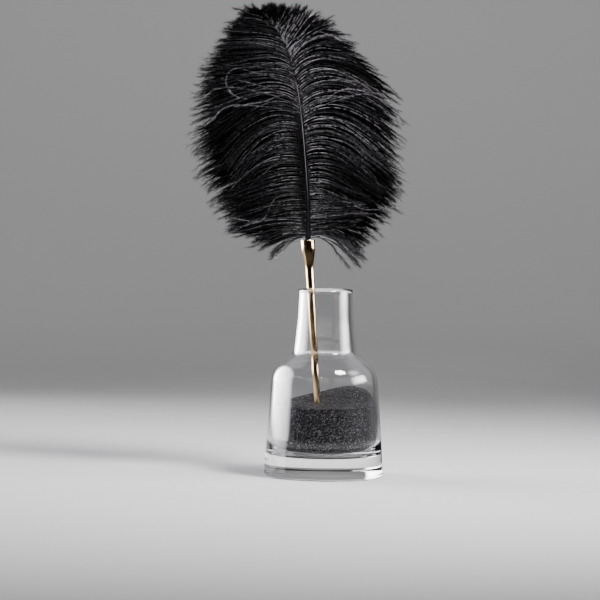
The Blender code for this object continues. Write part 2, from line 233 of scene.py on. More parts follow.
def inset(points: list[Array], distance: float) -> list[Array]:
    """Moves an open outline towards the axis by a distance, keeping its corners."""
    lines = []
    for start, end in zip(points, points[1:]):
        along = (end - start) / np.linalg.norm(end - start)
        aside = np.array([-along[1], along[0]]) * distance
        lines.append((start + aside, end + aside))
    inner = [lines[0][0]]
    for (a, b), (c, d) in zip(lines, lines[1:]):
        inner.append(crossing(a, b, c, d))
    inner.append(lines[-1][1])
    return inner


def smooth_step(low: float, high: float, values: Array) -> Array:
    """Rises from 0 at low to 1 at high along 3t^2 - 2t^3."""
    share = np.clip((values - low) / (high - low), 0.0, 1.0)
    return share * share * (3.0 - 2.0 * share)


# Shading


def link(tree: bpy.types.NodeTree, source: bpy.types.NodeSocket, target: bpy.types.NodeSocket) -> None:
    """Links two sockets of a node tree."""
    tree.links.new(source, target)


def new_material(name: str) -> tuple[bpy.types.Material, bpy.types.NodeTree, bpy.types.Node]:
    """Makes a material with a Principled shader.

    Args:
        name: the material's name.

    Returns:
        The material, its node tree and its Principled node.
    """
    material = bpy.data.materials.new(name)
    material.use_nodes = True
    tree = material.node_tree
    return material, tree, tree.nodes["Principled BSDF"]


def add_ramp(
    tree: bpy.types.NodeTree,
    source: bpy.types.NodeSocket,
    stops: Sequence[tuple[float, tuple[float, float, float]]],
) -> bpy.types.NodeSocket:
    """Adds a colour ramp after a value.

    Args:
        tree: the node tree.
        source: the value that the ramp reads.
        stops: places and colours, in order.

    Returns:
        The ramp's colour socket.
    """
    ramp = tree.nodes.new("ShaderNodeValToRGB")
    elements = ramp.color_ramp.elements
    while len(elements) < len(stops):
        elements.new(0.5)
    for element, (place, colour) in zip(elements, stops):
        element.position = place
        element.color = (*colour, 1.0)
    link(tree, source, ramp.inputs["Fac"])
    return ramp.outputs["Color"]


def add_range(
    tree: bpy.types.NodeTree, source: bpy.types.NodeSocket, low: float, high: float, to_low: float, to_high: float
) -> bpy.types.NodeSocket:
    """Adds a Map Range node that turns low..high into to_low..to_high, and returns its result."""
    node = tree.nodes.new("ShaderNodeMapRange")
    node.inputs["From Min"].default_value = low
    node.inputs["From Max"].default_value = high
    node.inputs["To Min"].default_value = to_low
    node.inputs["To Max"].default_value = to_high
    link(tree, source, node.inputs["Value"])
    return node.outputs["Result"]


def add_bump(
    tree: bpy.types.NodeTree, height: bpy.types.NodeSocket, distance: float, strength: float
) -> bpy.types.NodeSocket:
    """Adds a Bump node over a height and returns its normal."""
    bump = tree.nodes.new("ShaderNodeBump")
    bump.inputs["Distance"].default_value = distance
    bump.inputs["Strength"].default_value = strength
    link(tree, height, bump.inputs["Height"])
    return bump.outputs["Normal"]


def grain_group() -> bpy.types.NodeTree:
    """Makes the node group of fine grain: a soft noise and a cell pattern over the Object coordinates.

    Cells is a value for each Voronoi cell, Noise is a cloudy value between 0 and 1, and Scale sets how
    many cells lie along a metre.

    Returns:
        The node group.
    """
    group = bpy.data.node_groups.new("fine_grain", "ShaderNodeTree")
    group.interface.new_socket("Scale", in_out="INPUT", socket_type="NodeSocketFloat")
    group.interface.new_socket("Noise", in_out="OUTPUT", socket_type="NodeSocketFloat")
    group.interface.new_socket("Cells", in_out="OUTPUT", socket_type="NodeSocketFloat")
    entry = group.nodes.new("NodeGroupInput")
    leave = group.nodes.new("NodeGroupOutput")
    place = group.nodes.new("ShaderNodeTexCoord")
    noise = group.nodes.new("ShaderNodeTexNoise")
    noise.inputs["Detail"].default_value = 4.0
    cells = group.nodes.new("ShaderNodeTexVoronoi")
    coarse = group.nodes.new("ShaderNodeMath")
    coarse.operation = "MULTIPLY"
    coarse.inputs[1].default_value = 0.12
    link(group, entry.outputs["Scale"], coarse.inputs[0])
    link(group, coarse.outputs[0], noise.inputs["Scale"])
    link(group, entry.outputs["Scale"], cells.inputs["Scale"])
    link(group, place.outputs["Object"], noise.inputs["Vector"])
    link(group, place.outputs["Object"], cells.inputs["Vector"])
    apart = group.nodes.new("ShaderNodeSeparateColor")
    link(group, cells.outputs["Color"], apart.inputs["Color"])
    link(group, noise.outputs["Fac"], leave.inputs["Noise"])
    link(group, apart.outputs["Red"], leave.inputs["Cells"])
    return group


GRAIN = grain_group()


def add_grain(tree: bpy.types.NodeTree, scale: float) -> bpy.types.Node:
    """Adds the fine grain group to a material at a number of cells for each metre."""
    node = tree.nodes.new("ShaderNodeGroup")
    node.node_tree = GRAIN
    node.inputs["Scale"].default_value = scale
    return node


@dataclass(frozen=True)
class BarbFinish:
    """Black barbs: near black at the root, a shade greyer and warmer at the tips."""

    name: str
    roughness: float
    specular: float
    bump: float
    ior: float = 1.55
    fleck: float = 0.3
    patch: float = 0.45
    root: tuple[float, float, float] = (0.006, 0.0055, 0.0065)
    middle: tuple[float, float, float] = (0.011, 0.01, 0.0125)
    tip: tuple[float, float, float] = (0.014, 0.012, 0.0145)
    lift: tuple[tuple[float, tuple[float, float, float]], ...] = (
        (0.0, (0.05, 0.05, 0.05)),
        (0.15, (0.12, 0.12, 0.12)),
        (0.6, (0.2, 0.2, 0.2)),
        (0.85, (0.5, 0.5, 0.5)),
        (1.0, (1.0, 1.0, 1.0)),
    )

    def material(self) -> bpy.types.Material:
        """Returns the finish as a material that reads the barbs' own values 'along' and 'shade'."""
        material, tree, shader = new_material(self.name)
        along = tree.nodes.new("ShaderNodeAttribute")
        along.attribute_name = "along"
        shade = tree.nodes.new("ShaderNodeAttribute")
        shade.attribute_name = "shade"
        # the shade value carries each barb's random tone together with the painted light and shade of the glow, rim,
        # sheen and base tables; through lift it scales the colour, and it also sets roughness and gloss
        patches = add_grain(tree, 400.0)
        light = tree.nodes.new("ShaderNodeMath")
        light.operation = "MULTIPLY"
        link(tree, shade.outputs["Fac"], light.inputs[0])
        link(tree, add_range(tree, patches.outputs["Cells"], 0.2, 0.8, self.patch, 1.0), light.inputs[1])
        tone = add_ramp(tree, along.outputs["Fac"], [(0.0, self.root), (0.55, self.middle), (1.0, self.tip)])
        lift = tree.nodes.new("ShaderNodeMix")
        lift.data_type = "RGBA"
        lift.blend_type = "MULTIPLY"
        lift.inputs["Factor"].default_value = 1.0
        link(tree, tone, lift.inputs["A"])
        link(tree, add_ramp(tree, light.outputs[0], self.lift), lift.inputs["B"])
        link(tree, lift.outputs["Result"], shader.inputs["Base Color"])
        link(tree, add_range(tree, light.outputs[0], 0.0, 1.0, 0.5, self.roughness), shader.inputs["Roughness"])
        gloss = add_range(tree, light.outputs[0], 0.1, 0.9, 0.08 * self.specular, self.specular)
        flecks = tree.nodes.new("ShaderNodeMath")
        flecks.operation = "MULTIPLY"
        cells = add_grain(tree, 800.0)
        link(tree, gloss, flecks.inputs[0])
        link(tree, add_range(tree, cells.outputs["Cells"], 0.15, 0.8, self.fleck, 1.0), flecks.inputs[1])
        link(tree, flecks.outputs[0], shader.inputs["Specular IOR Level"])
        shader.inputs["IOR"].default_value = self.ior
        if self.bump > 0.0:
            grain = add_grain(tree, 5200.0)
            link(tree, add_bump(tree, grain.outputs["Noise"], self.bump, 1.0), shader.inputs["Normal"])
        return material


@dataclass(frozen=True)
class ShaftFinish:
    """Dyed horn of the shaft: black, glossy, with a painted highlight along its crest: a pale line that stands in for
    the light on its ridge.
    """

    name: str = "black_shaft"
    dark: tuple[float, float, float] = (0.0012, 0.0011, 0.0014)
    light: tuple[float, float, float] = (0.0035, 0.0032, 0.004)
    # pale: the colour of the painted highlight along the crest
    pale: tuple[float, float, float] = (0.1, 0.09, 0.1)
    roughness: float = 0.26
    specular: float = 0.03

    def material(self) -> bpy.types.Material:
        """Returns the finish as a material."""
        material, tree, shader = new_material(self.name)
        grain = add_grain(tree, 1400.0)
        horn = add_ramp(tree, grain.outputs["Noise"], [(0.3, self.dark), (0.75, self.light)])
        # painted highlight: the crest value mixes the pale colour into the horn along the ridge
        crest = tree.nodes.new("ShaderNodeAttribute")
        crest.attribute_name = "crest"
        wear_and_highlight = tree.nodes.new("ShaderNodeMix")
        wear_and_highlight.data_type = "RGBA"
        wear_and_highlight.inputs["B"].default_value = (*self.pale, 1.0)
        link(tree, crest.outputs["Fac"], wear_and_highlight.inputs["Factor"])
        link(tree, horn, wear_and_highlight.inputs["A"])
        link(tree, wear_and_highlight.outputs["Result"], shader.inputs["Base Color"])
        shader.inputs["Specular IOR Level"].default_value = self.specular
        rough = add_range(tree, grain.outputs["Noise"], 0.2, 0.8, self.roughness - 0.06, self.roughness + 0.1)
        link(tree, rough, shader.inputs["Roughness"])
        link(tree, add_bump(tree, grain.outputs["Noise"], 0.05 * MM, 0.4), shader.inputs["Normal"])
        return material


@dataclass(frozen=True)
class GoldFinish:
    """Polished gold-coloured metal, with faint handling marks that only change its gloss."""

    name: str = "polished_gold_metal"
    colour: tuple[float, float, float] = (0.86, 0.62, 0.33)
    wear_and_highlight: tuple[float, float, float] = (0.74, 0.50, 0.25)

    def material(self) -> bpy.types.Material:
        """Returns the finish as a material."""
        material, tree, shader = new_material(self.name)
        grain = add_grain(tree, 900.0)
        link(tree, add_ramp(tree, grain.outputs["Noise"], [(0.3, self.wear_and_highlight), (0.6, self.colour)]), shader.inputs["Base Color"])
        link(tree, add_range(tree, grain.outputs["Noise"], 0.3, 0.8, 0.07, 0.16), shader.inputs["Roughness"])
        shader.inputs["Metallic"].default_value = 1.0
        return material


@dataclass(frozen=True)
class GlassFinish:
    """Clear soda-lime glass."""

    name: str = "clear_glass"
    colour: tuple[float, float, float] = (0.985, 0.985, 0.995)
    ior: float = 1.5

    def material(self) -> bpy.types.Material:
        """Returns the finish as a material."""
        material, _, shader = new_material(self.name)
        shader.inputs["Base Color"].default_value = (*self.colour, 1.0)
        shader.inputs["Roughness"].default_value = 0.0
        shader.inputs["IOR"].default_value = self.ior
        shader.inputs["Transmission Weight"].default_value = 1.0
        return material


@dataclass(frozen=True)
class SandFinish:
    """Black sand: most grains near black, a few grey ones, and some that catch the light."""

    name: str
    scale: float
    dark: tuple[float, float, float] = (0.003, 0.003, 0.0035)
    middle: tuple[float, float, float] = (0.007, 0.0067, 0.0078)
    grey: tuple[float, float, float] = (0.024, 0.023, 0.026)
    light: tuple[float, float, float] = (0.26, 0.25, 0.265)
    bump: float = 0.25 * MM

    def material(self) -> bpy.types.Material:
        """Returns the finish as a material."""
        material, tree, shader = new_material(self.name)
        grain = add_grain(tree, self.scale)
        stops = [(0.0, self.dark), (0.4, self.middle), (0.8, self.grey), (1.0, self.light)]
        link(tree, add_ramp(tree, grain.outputs["Cells"], stops), shader.inputs["Base Color"])
        link(tree, add_range(tree, grain.outputs["Cells"], 0.0, 1.0, 0.55, 0.28), shader.inputs["Roughness"])
        shader.inputs["Specular IOR Level"].default_value = 0.1
        if self.bump > 0.0:
            link(tree, add_bump(tree, grain.outputs["Cells"], self.bump, 0.8), shader.inputs["Normal"])
        return material


@dataclass(frozen=True)
class FloorFinish:
    """Plain pale studio surface."""

    name: str = "pale_floor"
    colour: tuple[float, float, float] = (0.3, 0.3, 0.303)
    specular: float = 0.5

    def material(self) -> bpy.types.Material:
        """Returns the finish as a material."""
        material, _, shader = new_material(self.name)
        shader.inputs["Base Color"].default_value = (*self.colour, 1.0)
        shader.inputs["Roughness"].default_value = 0.85
        shader.inputs["Specular IOR Level"].default_value = self.specular
        return material


# The object


@dataclass
class BottleVase:
    """The turned glass bottle: flared body, round shoulder, conical neck, thick base."""

    height: float = 178.0 * MM
    base_radius: float = 57.2 * MM
    foot_round: float = 3.2 * MM
    shoulder: tuple[float, float] = (49.9 * MM, 102.0 * MM)
    shoulder_round: float = 24.0 * MM
    neck_foot: tuple[float, float] = (30.4 * MM, 117.6 * MM)
    neck_foot_round: float = 5.0 * MM
    neck_middle: tuple[float, float] = (27.1 * MM, 149.0 * MM)
    neck_middle_round: float = 160.0 * MM
    mouth_radius: float = 25.8 * MM
    wall: float = 4.4 * MM
    lip_round: float = 2.0 * MM
    base_thickness: float = 19.0 * MM
    floor_round: float = 14.0 * MM
    recess: float = 0.8 * MM
    recess_radius: float = 49.0 * MM
    sides: int = 128
    step: float = 2.8 * MM

    def wall_points(self) -> list[Array]:
        """Returns the corners of the outer wall, from the foot to the mouth."""
        corners = [(self.base_radius, 0.0), self.shoulder, self.neck_foot, self.neck_middle]
        return [np.array(corner) for corner in (*corners, (self.mouth_radius, self.height))]

    def outline(self) -> Array:
        """Returns the glass's section, from the middle of its base round the lip to the middle of its floor."""
        outer = self.wall_points()
        inner = inset(outer, self.wall)
        level = np.array([1.0, 0.0])
        floor = np.array([0.0, self.base_thickness])
        rim = np.array([0.0, self.height])
        floor_corner = crossing(floor, floor + level, inner[0], inner[1])
        rim_corner = crossing(rim, rim + level, inner[-2], inner[-1])
        return rounded(
            [
                (0.0, self.recess * 3.0, 0.0),
                (self.recess_radius * 0.6, self.recess * 2.4, 40.0 * MM),
                (self.recess_radius, self.recess, 8.0 * MM),
                (self.recess_radius + 3.0 * MM, 0.0, 3.0 * MM),
                (*outer[0], self.foot_round),
                (*outer[1], self.shoulder_round),
                (*outer[2], self.neck_foot_round),
                (*outer[3], self.neck_middle_round),
                (*outer[4], self.lip_round),
                (*rim_corner, self.lip_round),
                (*inner[3], self.neck_middle_round + self.wall),
                (*inner[2], self.neck_foot_round + self.wall),
                (*inner[1], self.shoulder_round - self.wall),
                (*floor_corner, self.floor_round),
                (*floor, 0.0),
            ],
            self.step,
        )

    def inner_radius(self, heights: Array) -> Array:
        """Returns the radius of the body's straight inner wall at some heights."""
        foot, shoulder = inset(self.wall_points(), self.wall)[:2]
        return foot[0] + (heights - foot[1]) / (shoulder[1] - foot[1]) * (shoulder[0] - foot[0])

    def build(self) -> bpy.types.Object:
        """Turns the outline about Z: x = r cos a, y = r sin a for evenly spaced angles a."""
        outline = self.outline()
        rings = outline[1:-1]
        angles = np.arange(self.sides) * 2 * math.pi / self.sides
        x = rings[:, :1] * np.cos(angles)
        y = rings[:, :1] * np.sin(angles)
        z = np.broadcast_to(rings[:, 1:], x.shape)
        points = np.stack([x, y, z], axis=-1).reshape(-1, 3)
        poles = np.array([[0.0, 0.0, outline[0, 1]], [0.0, 0.0, outline[-1, 1]]])
        corners, sizes = ring_faces(len(rings), self.sides, True, True)
        piece = mesh_object("vase_glass", Skin(np.concatenate([points, poles]), corners, sizes))
        return dressed(piece, GlassFinish().material(), "vase")


@dataclass
class QuillSleeve:
    """The slim metal sleeve: a straight leaning tube, flared at its mouth, with the bore for the quill."""

    at_sand: float = -6.5 * MM
    sand_height: float = 70.0 * MM
    lean: float = -0.0721
    sides: int = 40
    step: float = 2.4 * MM

    def centre(self, heights: Array) -> Array:
        """Returns the points of the sleeve's centre line at some heights: x changes by lean times height."""
        x = self.at_sand + self.lean * (heights - self.sand_height)
        return np.stack([x, np.zeros_like(heights), heights], axis=-1)

    def outline(self) -> Array:
        """Returns the sleeve's section: up its outside, round the mouth's lip and down its bore."""
        corners = [
            (0.0, 30.0, 0.0),
            (2.72, 30.0, 1.6),
            (2.9, 70.0, 0.0),
            (3.25, 110.0, 0.0),
            (3.7, 180.0, 300.0),
            (3.85, 201.0, 50.0),
            (6.65, 214.2, 50.0),
            (6.72, 224.5, 0.35),
            (5.72, 224.5, 0.35),
            (3.3, 214.0, 3.0),
            (2.9, 188.0, 0.4),
            (0.0, 188.0, 0.0),
        ]
        return rounded([(r * MM, z * MM, rounding * MM) for r, z, rounding in corners], self.step)

    def radius(self, heights: Array) -> Array:
        """Returns the outer radius in the stretch that stands in the sand."""
        return np.interp(heights, [33.0 * MM, 70.0 * MM, 110.0 * MM], [2.73 * MM, 2.9 * MM, 3.25 * MM])

    def build(self) -> bpy.types.Object:
        """Carries level rings of the outline's radius along the centre line."""
        outline = self.outline()
        rings = outline[1:-1]
        angles = np.arange(self.sides) * 2 * math.pi / self.sides
        circle = np.stack([np.cos(angles), np.sin(angles), np.zeros_like(angles)], axis=-1)
        points = self.centre(rings[:, 1])[:, None, :] + rings[:, 0][:, None, None] * circle
        poles = self.centre(outline[[0, -1], 1])
        corners, sizes = ring_faces(len(rings), self.sides, True, True)
        piece = mesh_object("sleeve_metal", Skin(np.concatenate([points.reshape(-1, 3), poles]), corners, sizes))
        return dressed(piece, GoldFinish().material(), "quill_sleeve")


@dataclass
class SandBed:
    """The black sand in the vase, with a skin of loose grains on its surface and against the glass."""

    vase: BottleVase
    sleeve: QuillSleeve
    level: float = 69.0 * MM
    slope: float = 0.05
    heaps: tuple[tuple[float, float, float, float], ...] = (
        (22.0 * MM, 28.0 * MM, 12.6 * MM, 29.5 * MM),
        (46.0 * MM, 14.0 * MM, 4.0 * MM, 20.0 * MM),
        (-14.0 * MM, 36.0 * MM, 2.0 * MM, 15.0 * MM),
        (-6.0 * MM, 2.0 * MM, -2.2 * MM, 9.0 * MM),
    )
    gap: float = 0.35 * MM
    sides: int = 160
    top_rings: int = 44
    grains_on_top: int = 2900
    grains_at_wall: int = 2100
    grain_radii: tuple[float, float] = (0.18 * MM, 0.36 * MM)
    grain_radii_on_top: tuple[float, float] = (0.34 * MM, 0.62 * MM)
    seed: int = 11

    def height(self, x: Array, y: Array) -> Array:
        """Returns the surface's height: a slope towards +Y, round heaps and dips, and low ripples.

        Each heap adds h exp(-(distance / radius)^2). The ripples are three sines across each other.
        """
        z = self.level + self.slope * y
        for centre_x, centre_y, rise, radius in self.heaps:
            z = z + rise * np.exp(-((x - centre_x) ** 2 + (y - centre_y) ** 2) / radius**2)
        ripples = np.sin(x * 410.0 + y * 150.0) + np.sin(y * 530.0 - x * 90.0 + 1.0) + np.sin((x + y) * 760.0 + 2.0)
        return z + 0.16 * MM * ripples

    def edge_radii(self, angles: Array) -> Array:
        """Returns the radius where the surface meets the glass in each direction."""
        radii = np.full_like(angles, float(self.vase.inner_radius(np.array(self.level))) - self.gap)
        for _ in range(3):
            heights = self.height(radii * np.cos(angles), radii * np.sin(angles))
            radii = self.vase.inner_radius(heights) - self.gap
        return radii

    def build_body(self) -> bpy.types.Object:
        """Builds the sand as one skin of rings.

        The rings run out from the middle of the vase's floor, round its corner and up the wall, in over
        the surface to the sleeve, and down along the sleeve to a point under its foot. Between the wall
        and the sleeve a ring is a blend of the wall's circle and the sleeve's.
        """
        angles = np.arange(self.sides) * 2 * math.pi / self.sides
        circle = np.stack([np.cos(angles), np.sin(angles)], axis=-1)
        floor = self.vase.base_thickness + self.gap
        corner_top = floor + 1.5 * self.vase.floor_round
        corner = (float(self.vase.inner_radius(np.array(floor))) - self.gap, floor, self.vase.floor_round)
        above = (float(self.vase.inner_radius(np.array(corner_top))) - self.gap, corner_top, 0.0)
        low = rounded([(0.0, floor, 0.0), corner, above], 2.5 * MM)[1:]
        rings = [np.stack([*(radius * circle.T), np.full(self.sides, height)], axis=-1) for radius, height in low]
        edge = self.edge_radii(angles)
        edge_height = self.height(edge * circle[:, 0], edge * circle[:, 1])
        for share in np.linspace(0.0, 1.0, 18)[1:]:
            heights = corner_top + share * (edge_height - corner_top)
            radii = self.vase.inner_radius(heights) - self.gap
            rings.append(np.column_stack([radii[:, None] * circle, heights]))
        entry = self.sleeve.centre(np.array([self.level]))[0]
        hole = float(self.sleeve.radius(np.array(self.level))) + self.gap
        outer = edge[:, None] * circle
        inner = entry[:2] + hole * circle
        for share in np.linspace(0.0, 1.0, self.top_rings + 1)[1:]:
            place = outer + share * (inner - outer)
            rings.append(np.column_stack([place, self.height(place[:, 0], place[:, 1])]))
        mouth = rings[-1][:, 2].min()
        for height in np.linspace(mouth - 1.5 * MM, 30.0 * MM - self.gap, 12):
            centre = self.sleeve.centre(np.array([height]))[0]
            radius = float(self.sleeve.radius(np.array(height))) + self.gap
            rings.append(np.column_stack([centre[:2] + radius * circle, np.full(self.sides, height)]))
        bottom = self.sleeve.centre(np.array([30.0 * MM - self.gap]))
        poles = np.concatenate([np.array([[0.0, 0.0, floor]]), bottom])
        corners, sizes = ring_faces(len(rings), self.sides, True, True)
        piece = mesh_object("sand_bed", Skin(np.concatenate([*rings, poles]), corners, sizes))
        finish = SandFinish("black_sand", 1500.0)
        return dressed(piece, finish.material(), "sand")

    def grain_places(self, rng: np.random.Generator) -> tuple[Array, Array]:
        """Scatters grains over the surface and against the glass.

        On the surface they are even over its area: the radius is the edge's times the square root of a
        random share. Against the glass they are even over the wall between the floor's corner and the
        surface.

        Args:
            rng: the source of chance.

        Returns:
            The centres on the surface and those against the glass, one row each.
        """
        angles = rng.uniform(0.0, 2 * math.pi, self.grains_on_top)
        radii = (self.edge_radii(angles) - 0.5 * MM) * np.sqrt(rng.uniform(0.0, 1.0, self.grains_on_top))
        x = radii * np.cos(angles)
        y = radii * np.sin(angles)
        top = np.stack([x, y, self.height(x, y) + rng.uniform(-0.15, 0.12, len(x)) * MM], axis=-1)
        entry = self.sleeve.centre(top[:, 2])
        clear = np.hypot(x - entry[:, 0], y) > self.sleeve.radius(top[:, 2]) + self.grain_radii_on_top[1] + self.gap
        turns = rng.uniform(0.0, 2 * math.pi, self.grains_at_wall)
        edge = self.edge_radii(turns)
        edge_height = self.height(edge * np.cos(turns), edge * np.sin(turns))
        low = self.vase.base_thickness + self.vase.floor_round
        heights = low + rng.uniform(0.0, 1.0, len(turns)) * (edge_height - low)
        wall = self.vase.inner_radius(heights) - self.gap - self.grain_radii[1] + rng.uniform(0.0, 0.2, len(turns)) * MM
        side = np.stack([wall * np.cos(turns), wall * np.sin(turns), heights], axis=-1)
        return top[clear], side

    def build_grains(self) -> bpy.types.Object:
        """Builds the grains as joined octahedra, each turned and squeezed by chance.

        A grain is its centre plus plus or minus each of three perpendicular axes, which are the columns
        of a random rotation times three random radii.
        """
        rng = np.random.default_rng(self.seed)
        top, side = self.grain_places(rng)
        centres = np.concatenate([top, side])
        count = len(centres)
        basis = np.linalg.qr(rng.normal(size=(count, 3, 3)))[0]
        radii = np.concatenate(
            [rng.uniform(*self.grain_radii_on_top, (len(top), 3)), rng.uniform(*self.grain_radii, (len(side), 3))]
        )
        axes = basis * radii[:, None, :]
        ends = np.concatenate([axes.transpose(0, 2, 1), -axes.transpose(0, 2, 1)], axis=1)
        points = (centres[:, None, :] + ends).reshape(-1, 3)
        right_handed = np.linalg.det(basis) > 0
        pattern = np.array(
            [[0, 1, 2], [1, 3, 2], [3, 4, 2], [4, 0, 2], [1, 0, 5], [3, 1, 5], [4, 3, 5], [0, 4, 5]]
        )
        turned = np.where(right_handed[:, None, None], pattern, pattern[:, ::-1])
        corners = (turned + 6 * np.arange(count)[:, None, None]).reshape(-1)
        sizes = np.full(count * 8, 3)
        piece = mesh_object("sand_grains", Skin(points, corners, sizes), smooth=False)
        finish = SandFinish("black_sand_grains", 900.0, bump=0.0)
        return dressed(piece, finish.material(), "sand")


@dataclass
class Shaft:
    """The feather's quill and shaft: a tapering tube along a smooth curve through a few points."""

    points: tuple[tuple[float, float, float], ...] = (
        (-16.07, 0.0, 203.0),
        (-17.6, 0.0, 224.5),
        (-17.4, 0.5, 243.0),
        (-17.9, 1.0, 262.0),
        (-20.9, 2.0, 300.0),
        (-25.0, 4.0, 340.0),
        (-31.2, 7.0, 376.0),
        (-44.3, 11.0, 414.0),
        (-60.0, 15.0, 438.0),
        (-66.0, 16.5, 446.0),
    )
    widths: tuple[tuple[float, float], ...] = (
        (188.0, 5.2),
        (214.0, 5.9),
        (224.0, 5.6),
        (245.0, 5.0),
        (300.0, 4.2),
        (340.0, 3.4),
        (376.0, 2.6),
        (438.0, 1.1),
        (446.0, 0.3),
    )
    foot: float = 188.3
    top: float = 445.5
    ridge: float = 0.2
    ridge_turn: float = 0.12
    ridge_spread: float = 0.12
    # crest_glow: strength of the painted highlight along the ridge, by height in millimetres: none at the quill, full
    # along the middle of the shaft
    crest_glow: tuple[tuple[float, float], ...] = (
        (228.0, 0.0),
        (240.0, 0.06),
        (262.0, 0.12),
        (274.0, 0.35),
        (288.0, 0.85),
        (365.0, 1.0),
        (385.0, 0.5),
        (420.0, 0.3),
    )
    sides: int = 48
    rings: int = 170

    def centre(self, heights: Array, sleeve: QuillSleeve) -> Array:
        """Returns the centre line at some heights.

        Below the second point it is the sleeve's line. Above it each coordinate is a cubic in height
        between two points, and its slope at a point is that of the line from the point before it to the
        point after it.

        Args:
            heights: heights in metres.
            sleeve: the sleeve that holds the quill.

        Returns:
            The points, one row each.
        """
        knots = np.array(self.points) * MM
        span = np.clip(np.searchsorted(knots[:, 2], heights) - 1, 1, len(knots) - 3)
        before, start, end, after = (knots[span + offset] for offset in (-1, 0, 1, 2))
        rise = (end - start)[:, 2:]
        share = (heights[:, None] - start[:, 2:]) / rise
        start_slope = (end - before) / (end - before)[:, 2:] * rise
        end_slope = (after - start) / (after - start)[:, 2:] * rise
        place = start + (end - start) * share * share * (3 - 2 * share)
        place = place + start_slope * share * (1 - share) ** 2 - end_slope * share * share * (1 - share)
        place[:, 2] = heights
        return np.where((heights <= knots[1, 2])[:, None], sleeve.centre(heights), place)

    def half_width(self, heights: Array) -> Array:
        """Returns half the shaft's width at some heights."""
        rows = np.array(self.widths) * MM
        return np.interp(heights, rows[:, 0], rows[:, 1]) / 2

    def build(self, sleeve: QuillSleeve) -> bpy.types.Object:
        """Carries a flattened ring, with a fine ridge down its front, along the centre line.

        The points crowd round the front. The ring's radius grows there by the ridge's share over a
        narrow bell.

        Args:
            sleeve: the sleeve that holds the quill.

        Returns:
            The shaft.
        """
        heights = np.linspace(self.foot * MM, self.top * MM, self.rings)
        centre = self.centre(heights, sleeve)
        along = np.gradient(centre, heights, axis=0)
        along /= np.linalg.norm(along, axis=1, keepdims=True)
        depth = np.array([0.0, 1.0, 0.0])
        across = np.cross(depth, along)
        across /= np.linalg.norm(across, axis=1, keepdims=True)
        even = np.arange(self.sides) / self.sides
        from_front = 2 * math.pi * even - 0.75 * np.sin(2 * math.pi * even)
        angles = from_front - math.pi / 2
        free = smooth_step(224.0 * MM, 236.0 * MM, heights)[:, None]
        nearest = np.abs(np.mod(from_front + self.ridge_turn + math.pi, 2 * math.pi) - math.pi)
        bell = np.exp(-((nearest / self.ridge_spread) ** 2))[None, :]
        radius = self.half_width(heights)[:, None] * (1.0 + self.ridge * bell * free)
        flat = 1.0 - 0.3 * free
        offsets = (radius * np.cos(angles))[..., None] * across[:, None, :]
        offsets = offsets + (radius * flat * np.sin(angles))[..., None] * depth
        points = (centre[:, None, :] + offsets).reshape(-1, 3)
        # painted highlight: the crest value rises on the ridge's bell and follows crest_glow up the shaft
        glow = np.interp(heights, *np.array(self.crest_glow).T * np.array([[MM], [1.0]]))[:, None] * bell**2
        crest = np.concatenate([glow.reshape(-1), [0.0, 0.0]])
        corners, sizes = ring_faces(self.rings, self.sides, True, True)
        skin = Skin(np.concatenate([points, centre[[0, -1]]]), corners, sizes, {"crest": crest})
        piece = mesh_object("shaft", skin)
        return dressed(piece, ShaftFinish().material(), "feather")


def on_curves(curves: Array, shares: Array) -> Array:
    """Returns the points of cubic curves at shares of their way.

    A point is a(1-s)^3 + 3b(1-s)^2 s + 3c(1-s)s^2 + d s^3.

    Args:
        curves: the curves, shaped (count, 4, 3).
        shares: the shares, shaped (count, places).

    Returns:
        The points, shaped (count, places, 3).
    """
    s = shares[..., None]
    r = 1.0 - s
    a, b, c, d = (curves[:, index, None, :] for index in range(4))
    return a * r**3 + 3 * b * r * r * s + 3 * c * r * s * s + d * s**3


